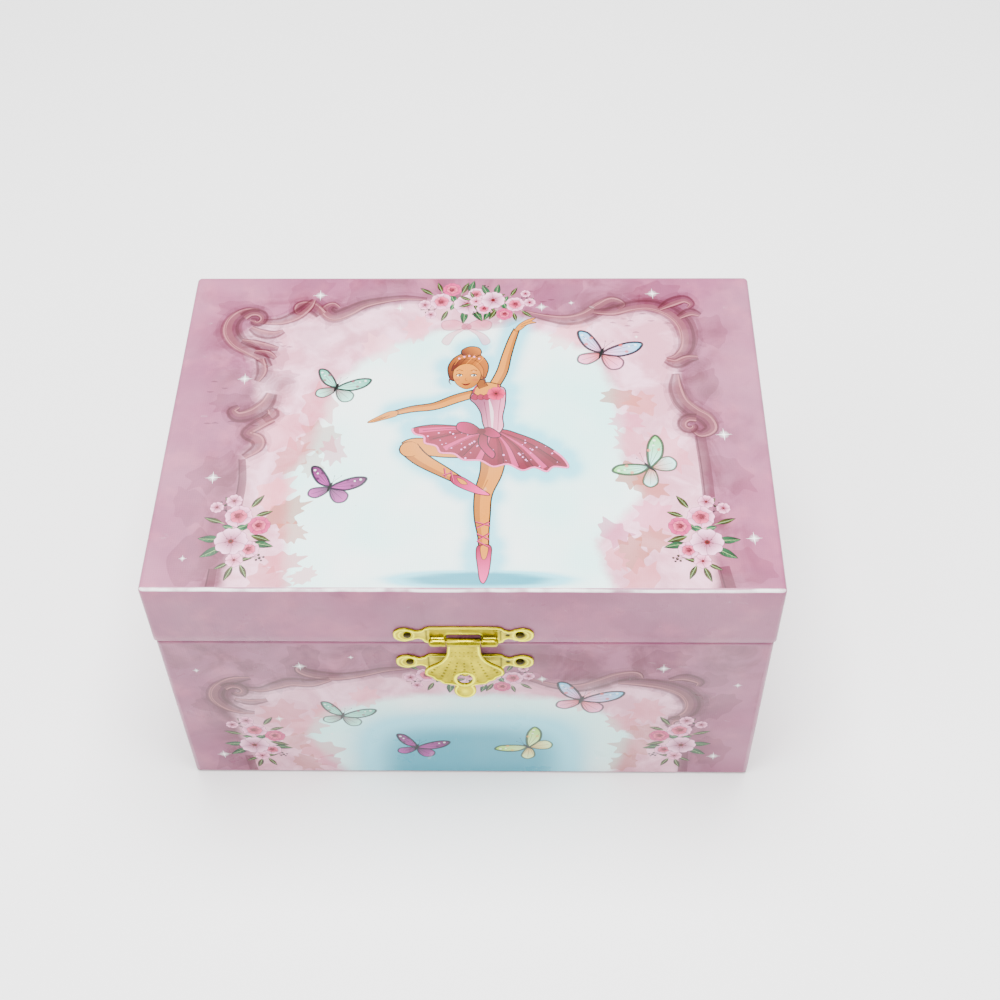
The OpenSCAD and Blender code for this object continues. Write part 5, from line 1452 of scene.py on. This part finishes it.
def nails(name, spots, toward, mat, body, slot, node, r=1.15):
    """Domed nail heads; spots are points on the plate's face, toward is -1 or +1 along Y."""
    parts = []
    for x, y, z in spots:
        prof = [(0.5, -2.3), (0.5, 0.02), (r, 0.02), (r, 0.12), (r * 0.86, 0.27), (r * 0.5, 0.37),
                (0.03, 0.40)]
        parts.append(lathe([(q, toward * h) for q, h in prof][::toward], (x, y, z), "y", 20))
    piece(name, join_parts(parts), mat, body, slot, node)


for label, body, wall, z in (("upper", "lid", LID_Y, CLASP_TOP), ("lower", "base", BASE_Y, CLASP_LOW)):
    spots = [(x, -wall - 0.5, z) for x in (-13.5, 13.5)]
    nails(f"clasp_{label}_nails", spots, -1, nail_brass, body, "brass", f"clasp_{body}_nails", 0.95)
knob = lathe([(1.7, -53.4), (1.7, -53.62), (1.55, -53.74), (1.1, -53.78), (1.02, -54.1), (1.16, -54.4),
              (1.26, -54.75), (1.22, -55.05), (1.05, -55.35), (0.75, -55.57), (0.4, -55.68), (0.03, -55.7)],
             (0, 0, 52.4), "y", 36)
piece("clasp_stud", turned(*knob), stud, "base", "brass", "clasp_knob", angle=60)

# The hasp, drawn hanging from its pin and then lifted clear of the stud
hasp_half = [(0, -0.3), (3.9, -0.3), (4.0, -2.4), (4.15, -4.2), (4.7, -5.6), (5.5, -6.7), (6.6, -7.6),
             (7.9, -8.4), (8.9, -9.1), (9.65, -10.1), (9.75, -11.1), (9.35, -11.9), (8.5, -12.35),
             (7.9, -12.7), (7.6, -13.3), (7.0, -13.75), (6.3, -13.95), (5.9, -14.4), (5.3, -14.95),
             (4.4, -15.15), (3.7, -15.2), (3.1, -15.35)]
hasp_half += ear(0, -17.4, 2.75, 38, -90, 10)


def hasp_relief(v, d):
    """The hasp's pressing: a bead along the edge, a fan of dashes, two dotted rows and a collar."""
    x, s = v[:, 0], -v[:, 1]
    h = bead(d, 0.45, 0.26, 0.16)
    phi, rho = np.arctan2(x, s + 1.2), np.hypot(x, s + 1.2)
    zone = np.clip((s - 6.4) / 0.6, 0, 1) * np.clip((d - 0.9) / 0.3, 0, 1) * np.clip((14.8 - s) / 0.6, 0, 1)
    rays = np.clip(np.cos(phi * 32) * 2.4 - 1.0, 0, 1)
    h -= 0.055 * zone * rays * np.clip(0.7 + np.cos(rho * 2 * math.pi / 1.1), 0, 1)
    for row in (3.6, 4.9):
        dots = np.clip(np.cos(x * 2 * math.pi / 1.0) * 3, 0, 1)
        h -= 0.055 * np.exp(-((s - row) / 0.24) ** 2) * dots * (d > 0.8)
    r = np.hypot(x, s - 13.1)
    collar = bead(r, 2.3, 0.34, 0.20)
    h = np.where(collar > 0.02, np.maximum(h, collar), h)
    return h + 0.10 * np.exp(-(np.hypot(x, s - 17.6) / 1.3) ** 2)


def hasp_place(u, v, h):
    """Turns the hanging hasp up about its pin by its lift at rest."""
    y, z = 0.45 - h, v
    a = math.radians(-HASP_LIFT)
    return (u, HASP_Y + y * math.cos(a) - z * math.sin(a), HASP_Z + y * math.sin(a) + z * math.cos(a))


hasp = plate("clasp_hasp_plate", mirrored(hasp_half), [disc_points(0, -13.1, 1.9)], SHEET, hasp_relief,
             hasp_place, [brass], 0.17, 0.10)
ride(hasp, "hasp", "brass", "clasp_hasp")
barrel = lathe([(0.5, -4.0), (0.95, -4.0), (1.1, -3.8), (1.1, 3.8), (0.95, 4.0), (0.5, 4.0)],
               (0, HASP_Y, HASP_Z), "x", 36)
piece("clasp_hasp_barrel", barrel, brass, "hasp", "brass")

# ---- Hinges ----------------------------------------------------------------------------
def leaf_plate(name, hx, side, surface, body, node):
    """side is -1 below the pin and 1 above it; surface is the wall that the leaf lies on."""
    far, near = side * 9.5, side * 1.9
    w = 11.25
    out = [(-w, near), (w, near), (w, far - side * 1.0), (w - 1.0, far), (-w + 1.0, far),
           (-w, far - side * 1.0)]
    def relief(v, d):
        h = -0.05 + 0 * d
        for dx in (-8, 8):
            r = np.hypot(v[:, 0] - dx, v[:, 1] - side * 6.3)
            h -= 0.10 * np.exp(-(r / 1.5) ** 2)
        return h + bead(d, 0.9, 0.35, 0.05)
    leaf_ob = plate(name, out, [], 0.55, relief, lambda u, v, h: (hx - u, surface + h, PIVOT_Z + v),
                    [hinge_brass], 0.6, 0.12)
    ride(leaf_ob, body, "hinge_brass", node)
    gap = PIVOT_Y - surface
    prof = [(-gap, -2.8), (-gap, -1.5), (-gap + 0.3, -1.18), (-gap + 0.7, -1.08), (0, -1.08), (0, -1.70),
            (-gap + 0.9, -1.70), (-gap + 0.65, -1.85), (-gap + 0.6, -2.1), (-gap + 0.6, -2.8)]
    spans = [(-4.95, 4.95)] if side > 0 else [(-11.25, -5.25), (5.25, 11.25)]
    parts = []
    for a, b in spans:
        parts.append(loft([[(hx + x, PIVOT_Y + y, PIVOT_Z - side * z) for y, z in prof]
                           for x in (a + 0.08, b - 0.08)], cap_start=True, cap_end=True))
        parts.append(lathe([(0.72, a), (1.55, a), (1.72, a + 0.14), (1.75, a + 0.35), (1.75, b - 0.35),
                            (1.72, b - 0.14), (1.55, b), (0.72, b)], (hx, PIVOT_Y, PIVOT_Z), "x", 36))
    piece(name + "_knuckles", join_parts(parts), hinge_brass, body, "hinge_brass")


for label, hx in (("left", -HINGE_X), ("right", HINGE_X)):
    leaf_plate(f"hinge_{label}_lower", hx, -1, BASE_Y, "base", f"hinge_{label}_base_leaf")
    leaf_plate(f"hinge_{label}_upper", hx, 1, LID_Y, "lid", f"hinge_{label}_lid_leaf")
    rod = lathe([(0.02, -11.45), (0.4, -11.45), (0.66, -11.3), (0.7, -11.0), (0.7, 11.0), (0.66, 11.3),
                 (0.4, 11.45), (0.02, 11.45)], (hx, PIVOT_Y, PIVOT_Z), "x", 24)
    piece(f"hinge_{label}_rod", rod, hinge_brass, "base", "hinge_brass", f"hinge_{label}_pin")
for label, body, wall, z in (("lower", "base", BASE_Y, -6.3), ("upper", "lid", LID_Y, 6.3)):
    spots = [(hx + dx, wall + 0.55, PIVOT_Z + z) for hx in (-HINGE_X, HINGE_X) for dx in (-8, 8)]
    nails(f"hinge_{label}_nails", spots, 1, hinge_brass, body, "hinge_brass", f"hinge_{body}_nails")

# ---- Key -------------------------------------------------------------------------------
steel = make_metal("bright_steel", "#E2E3E5", "#D6D7DA", 0.2, "#6A645C", 0.1)
hub = [(1.8, 54.4), (2.7, 54.4), (3.0, 54.7), (3.0, 56.0), (2.75, 56.4), (2.75, 57.0), (3.0, 57.4),
       (3.0, 60.6), (2.8, 61.6), (2.3, 62.8), (1.6, 63.6), (0.03, 63.9)]
piece("winding_key_hub", lathe(hub, (0, 0, KEY_Z), "y", 40), steel, "key", "steel", "winding_key", angle=40)
wing_half = spline([(0, 3.4), (1.6, 3.6), (3.4, 4.6), (5.6, 5.0), (8.4, 4.0), (10.1, 1.6), (10.35, 0),
                    (10.1, -1.6), (8.4, -4.0), (5.6, -5.0), (3.4, -4.6), (1.8, -4.2), (0, -4.6)], n=5)
wings = [tuple(p) for p in wing_half] + [(-x, y) for x, y in wing_half[1:-1][::-1]]
wing = plate("winding_key_wings", wings, [disc_points(6, 0, 2.0), disc_points(-6, 0, 2.0)], 1.6,
             lambda v, d: 0 * d, lambda u, v, h: (u, 66.4 + v, KEY_Z - 0.8 + h), [steel], 0.9, 0.35)
ride(wing, "key", "steel")
grommet = lathe([(2.45, 50.5), (2.4, 53.4), (2.55, 53.75), (3.0, 53.95), (4.4, 53.9), (5.0, 53.6),
                 (5.2, 53.2), (5.15, 53.0), (3.6, 52.98), (3.58, 50.5)], (0, 0, KEY_Z), "y", 40, False)
piece("key_grommet", turned(*grommet), make_rubber(), "base", "bushing", "key_bushing")

# ---- Dancer ----------------------------------------------------------------------------
FOOT = 6.9


def folded(x, y, z):
    """From the dancer's own standing place (origin under her toe) to her rest pose under the lid."""
    return (x, POST_Y - FOOT - z, FOLD_Z + y)


def smooth_limb(points):
    c = spline(points, n=5)
    return tube([tuple(folded(*p[:3])) + (p[3],) for p in round_ended(list(c))], 14)


# standing leg; raised thigh and shin; trunk; shoulders; neck; head; hair and bun; chest; nose
limbs = [
    [(0, 0, 0.7, 0.62), (0, -0.05, 2.2, 0.80), (0.05, -0.1, 4.2, 0.98), (0.1, 0.0, 6.4, 0.92),
     (0.15, 0.25, 9.4, 1.22), (0.2, 0.35, 12.6, 1.48), (0.25, 0.1, 16.0, 1.30), (0.3, -0.1, 17.8, 1.42),
     (0.5, 0, 22, 1.72), (0.8, 0, 28, 2.15), (1.0, 0, 33, 2.35)],
    [(-1.0, 0, 33, 2.3), (-1.7, -0.7, 27, 1.95), (-2.4, -1.4, 21.4, 1.52), (-2.6, -1.6, 19.2, 1.46)],
    [(-2.6, -1.6, 19.2, 1.44), (-2.1, -1.2, 16.0, 1.34), (-1.5, -0.9, 12.8, 1.0), (-1.1, -0.8, 10.8, 0.80),
     (-0.9, -1.0, 9.2, 0.78), (-0.6, -1.1, 7.4, 0.50)],
    [(0, 0, 32.6, 2.7), (0, 0.1, 34.6, 2.85), (0, 0, 37.6, 2.15), (0, -0.15, 40.4, 2.45),
     (0, -0.1, 42.8, 2.45), (0, 0, 44.4, 1.7)],
    [(-3.7, 0, 43.5, 1.1), (0, -0.1, 43.9, 1.35), (3.7, 0, 43.5, 1.1)],
    [(0, 0, 44, 1.3), (0, -0.1, 46, 0.98), (0, -0.2, 48.6, 1.05)],
    [(0, -0.35, 49.2, 1.7), (0, -0.2, 50.4, 2.45), (0, 0, 52.0, 2.75), (0, 0.1, 53.4, 2.6)],
    [(0, 0.6, 50.6, 2.1), (0, 0.55, 52.6, 2.75), (0, 0.45, 53.6, 2.5)],
    [(0, 0.7, 55.4, 1.45), (0, 0.8, 56.4, 1.35)],
    [(-1.05, -1.55, 41.2, 0.95), (-1.0, -1.7, 41.6, 0.85)],
    [(1.05, -1.55, 41.2, 0.95), (1.0, -1.7, 41.6, 0.85)],
    [(0, -2.75, 50.7, 0.30), (0, -2.5, 51.6, 0.18)]]
for s in (-1, 1):
    limbs.append([(s * 3.8, 0, 43.5, 1.12), (s * 5.8, 0.4, 41.4, 1.0), (s * 8.0, 0.6, 38.8, 0.84),
                  (s * 9.8, 0.2, 36.4, 0.80), (s * 11.2, -0.3, 34.6, 0.58), (s * 11.9, -0.6, 33.5, 0.60),
                  (s * 12.3, -0.8, 32.4, 0.34)])
verts, faces = join_parts([smooth_limb(q) for q in limbs])
PAINT = {"skin": ink("#EFE0BE"), "hair": ink("#E4BE3C"), "dark": ink("#4A3128"), "pink": ink("#D49AA8"),
         "shoe": ink("#D490A4"), "lip": ink("#B8424E"), "white": ink("#F2EDE4"), "blush": ink("#E09A80")}
figure = mesh("dancer_figure", verts, faces, [], 0)
merge = figure.modifiers.new("skin", "REMESH")
merge.mode, merge.voxel_size, merge.use_smooth_shade = "VOXEL", 0.24 * MM, True
soften = figure.modifiers.new("soft", "SMOOTH")
soften.factor, soften.iterations = 0.5, 3
baked(figure)
co = np.zeros(len(figure.data.vertices) * 3)
figure.data.vertices.foreach_get("co", co)
co = co.reshape(-1, 3) / MM
px, py, pz = co[:, 0], co[:, 2] - FOLD_Z, POST_Y - FOOT - co[:, 1]
paint = np.tile(np.array(PAINT["skin"], np.float32), (len(co), 1))


def brush(mask, key):
    paint[mask] = PAINT[key]


torso = np.abs(px) < 3.3
brush((pz > 30.5) & (pz < 42.9 - 0.9 * np.cos(px * 0.9)) & torso, "pink")
brush((np.abs(np.abs(px) - 2.1) < 0.34) & (pz > 41) & (pz < 45.2), "pink")
brush((pz < 5.6) & (np.abs(px) < 1.6), "shoe")
low = (np.abs(px - 0.1) < 1.7) & (py > -0.9)
for z0 in (6.6, 7.8, 9.0):
    brush(low & (np.abs(pz - z0 - 0.35 * px) < 0.24), "shoe")
brush((px < 0.2) & (py < -0.35) & (pz < 10.2 + 0.3 * px), "shoe")
hairline = (py > 0.75 - (pz - 50.5) * 0.62) | (pz > 52.35 + 0.12 * np.abs(px))
brush((pz > 49.2) & (np.hypot(px, py - 0.3) < 4) & hairline, "hair")
brush(pz > 54.9, "dark")
brush((np.abs(pz - 54.1 - 0.16 * py) < 0.22) & (py < 1.6), "dark")
for s in (-1, 1):
    eye_x, eye_z = px - s * 0.98, pz - 51.55
    brush(np.hypot(eye_x / 0.46, eye_z / 0.26) < 1, "white")
    brush((np.hypot(eye_x / 0.22, eye_z / 0.24) < 1) & (py < 0), "dark")
    brush((np.hypot((px - s * 1.0) / 0.62, (pz - 52.25 + 0.15 * (px - s) ** 2) / 0.13) < 1) & (py < 0),
          "dark")
    brush((np.hypot((px - s * 1.6) / 0.6, (pz - 50.5) / 0.42) < 1) & (py < 0), "blush")
brush((np.hypot(px / 0.62, (pz - 49.65) / 0.20) < 1) & (py < 0), "lip")
figure.data.attributes.new("paint", "FLOAT_COLOR", "POINT").data.foreach_set("color", paint.ravel())
figure.data.materials.clear()
figure.data.materials.append(make_plastic("painted_plastic", ("#E6D3A4", "#F4E8C8"), 0.34,
                                          attribute="paint", grime=0.12))
ride(figure, "dancer", "dancer", "dancer_body")


def skirt_layer(d0, r1, drop, seed, scallops):
    """A gathered skirt layer: outside down to a scalloped hem and back up inside."""
    n, thick = 192, 0.22
    loops = []
    for side in (0, 1):
        for k in range(13):
            u = k / 12 if side == 0 else 1 - k / 12
            ringp = []
            for i in range(n):
                q = 2 * math.pi * i / n
                pleat = math.cos(scallops * q + seed) * (0.25 + 0.75 * u)
                fine = math.cos(scallops * 3 * q + seed * 2)
                hem = abs(math.cos(scallops * q / 2 + seed / 2)) * u ** 4
                r = 3.2 + (r1 - 3.5 - 3.2) * u ** 0.95 + 3.1 * u * u + 0.14 * u * fine
                d = d0 - drop * u ** 1.3 + 0.42 * pleat * u - 0.75 * hem - side * thick
                r = min(r - side * thick * 0.4, 12.55)
                ringp.append((r * math.sin(q), POST_Y - d, FOLD_Z - r * math.cos(q)))
            loops.append(ringp)
    return turned(*loft(loops))


tulle = make_plastic("tutu_plastic", ("#A87D96", "#BE97AB"), 0.3, grime=0.15)
tulle_pale = make_plastic("tutu_frill", ("#C6A3B6", "#D6B9C8"), 0.32, grime=0.12)
piece("tutu_upper", skirt_layer(44.4, 12.4, 9.2, 0.0, 12), tulle, "dancer", "tutu", "dancer_tutu", angle=0)
piece("tutu_lower", skirt_layer(43.4, 12.2, 8.9, 1.6, 12), tulle_pale, "dancer", "tutu", angle=0)
sash = lathe([(2.6, -1.0), (3.1, -0.9), (3.35, -0.4), (3.4, 0.2), (3.2, 0.8), (2.5, 1.0)],
             (0, POST_Y - 44.0, FOLD_Z), "y", 40)
piece("tutu_sash", sash, tulle_pale, "dancer", "tutu", angle=40)
ferrule = lathe([(1.18, 35.95), (2.35, 35.98), (2.56, 35.85), (2.6, 35.6), (2.6, 35.1), (2.5, 34.85),
                 (2.2, 34.7), (1.18, 34.7)], (0, 0, FOLD_Z), "y", 40, False)
piece("spring_collar", turned(*ferrule), steel, "dancer_fold", "steel", "spring_ferrule", angle=40)

# The close-wound spring, worked out standing straight and then bent to its rest shape
START, END = (0.2, -2.4), (-3.2, 1.2)
wire, coil_r, pitch = 0.27, 1.78, 0.56
turns = (FOLD_Z + 5.9 - 49.9) / pitch
loops = []
for k in range(int(turns * 20) + 1):
    q = 2 * math.pi * k / 20
    z = 49.9 + pitch * k / 20
    loops.append([polar(0, POST_Y, coil_r + wire * math.cos(t), q) + (z + wire * math.sin(t),)
                  for t in np.linspace(0, 2 * math.pi, 7, endpoint=False)])
verts, faces = turned(*loft(loops, cap_start=True, cap_end=True))
v = np.array(verts)
y, z = v[:, 1] - POST_Y, v[:, 2] - FOLD_Z
lo, hi = np.zeros(len(v)), np.ones(len(v))
d = np.subtract(END, START)
for _ in range(40):
    w = (lo + hi) / 2
    a = math.pi / 2 * w
    y0, z0 = y * np.cos(a) - z * np.sin(a), y * np.sin(a) + z * np.cos(a)
    t = np.clip(((y0 - START[0]) * d[0] + (z0 - START[1]) * d[1]) / (d @ d), 0, 1)
    up = t * t * (3 - 2 * t) > w
    lo, hi = np.where(up, w, lo), np.where(up, hi, w)
v[:, 1], v[:, 2] = POST_Y + y0, FOLD_Z + z0
spring_steel = make_metal("spring_steel", "#D2D3D5", "#B4B5B8", 0.28, "#4A4642", 0.25)
coil = mesh("dancer_spring", [tuple(p) for p in v], faces, [spring_steel], 60)
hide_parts("flex_spring")
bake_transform(coil)

# ---- The parts that keep their CAD shape ------------------------------------------------
looks = {"board": make_board(), "bottom_paper": make_bottom_paper(), "steel": steel,
         "spring_steel": spring_steel,
         "zinc": make_metal("cast_zinc", "#A9AAAD", "#8C8D91", 0.42, "#4A4A4A", 0.3),
         "movement_brass": make_metal("turned_brass", "#D8C078", "#BDA25A", 0.22, "#5A4522", 0.3)}
slots = {s["node"]: s["material_slot"] for s in frame["record"]["subparts"]}
for name, ob in frame["nodes"].items():
    if ob.hide_render:
        continue
    ob.data.materials.clear()
    ob.data.materials.append(looks[slots[name]])
    weld = ob.modifiers.new("weld", "WELD")
    weld.merge_threshold = 1e-6
    bevelled(ob, 0.25 if slots[name] == "board" else 0.08)

# ---- Stage, light and camera ------------------------------------------------------------
me = bpy.data.meshes.new("floor")
me.from_pydata([(-4, -4, 0), (4, -4, 0), (4, 4, 0), (-4, 4, 0)], [], [(0, 1, 2, 3)])
floor = bpy.data.objects.new("floor", me)
floor.data.materials.append(make_floor())
scene.collection.objects.link(floor)

world = bpy.data.worlds.new("studio")
scene.world = world
world.use_nodes = True
sky = world.node_tree.nodes["Background"]
sky.inputs["Color"].default_value = (1.0, 1.0, 1.0, 1)
sky.inputs["Strength"].default_value = 0.4
BOX_MIDDLE = (0, 0, 40)


def softbox(name, at, size, power):
    lamp = bpy.data.lights.new(name, "AREA")
    lamp.shape, lamp.size, lamp.size_y, lamp.energy = "RECTANGLE", size[0] * MM, size[1] * MM, power
    ob = bpy.data.objects.new(name, lamp)
    ob.location = [c * MM for c in at]
    ob.rotation_mode = "QUATERNION"
    ob.rotation_quaternion = (Vector(BOX_MIDDLE) - Vector(at)).to_track_quat("-Z", "Y")
    scene.collection.objects.link(ob)


softbox("key", (-460, -340, 640), (420, 420), 4.4)
softbox("fill", (500, -320, 480), (420, 420), 2.6)
softbox("top", (0, 60, 900), (560, 560), 27.5)
softbox("front", (0, -600, 560), (800, 260), 1)

AZ, EL, ROLL = (math.radians(a) for a in (1.54, 50.48, -1.1))
back = Vector((math.sin(AZ) * math.cos(EL), -math.cos(AZ) * math.cos(EL), math.sin(EL)))
right = Vector((math.cos(AZ), math.sin(AZ), 0))
up = back.cross(right)
right, up = right * math.cos(ROLL) + up * math.sin(ROLL), up * math.cos(ROLL) - right * math.sin(ROLL)
camera = bpy.data.objects.new("camera", bpy.data.cameras.new("camera"))
scene.collection.objects.link(camera)
camera.data.sensor_width, camera.data.lens = 36, 56.7
camera.data.clip_start, camera.data.clip_end = 0.01, 20
camera.location = (right * 7.3 + up * 33.4 + back * 462.8) * MM
camera.rotation_mode = "QUATERNION"
camera.rotation_quaternion = Matrix((right, up, back)).transposed().to_quaternion()
scene.camera = camera
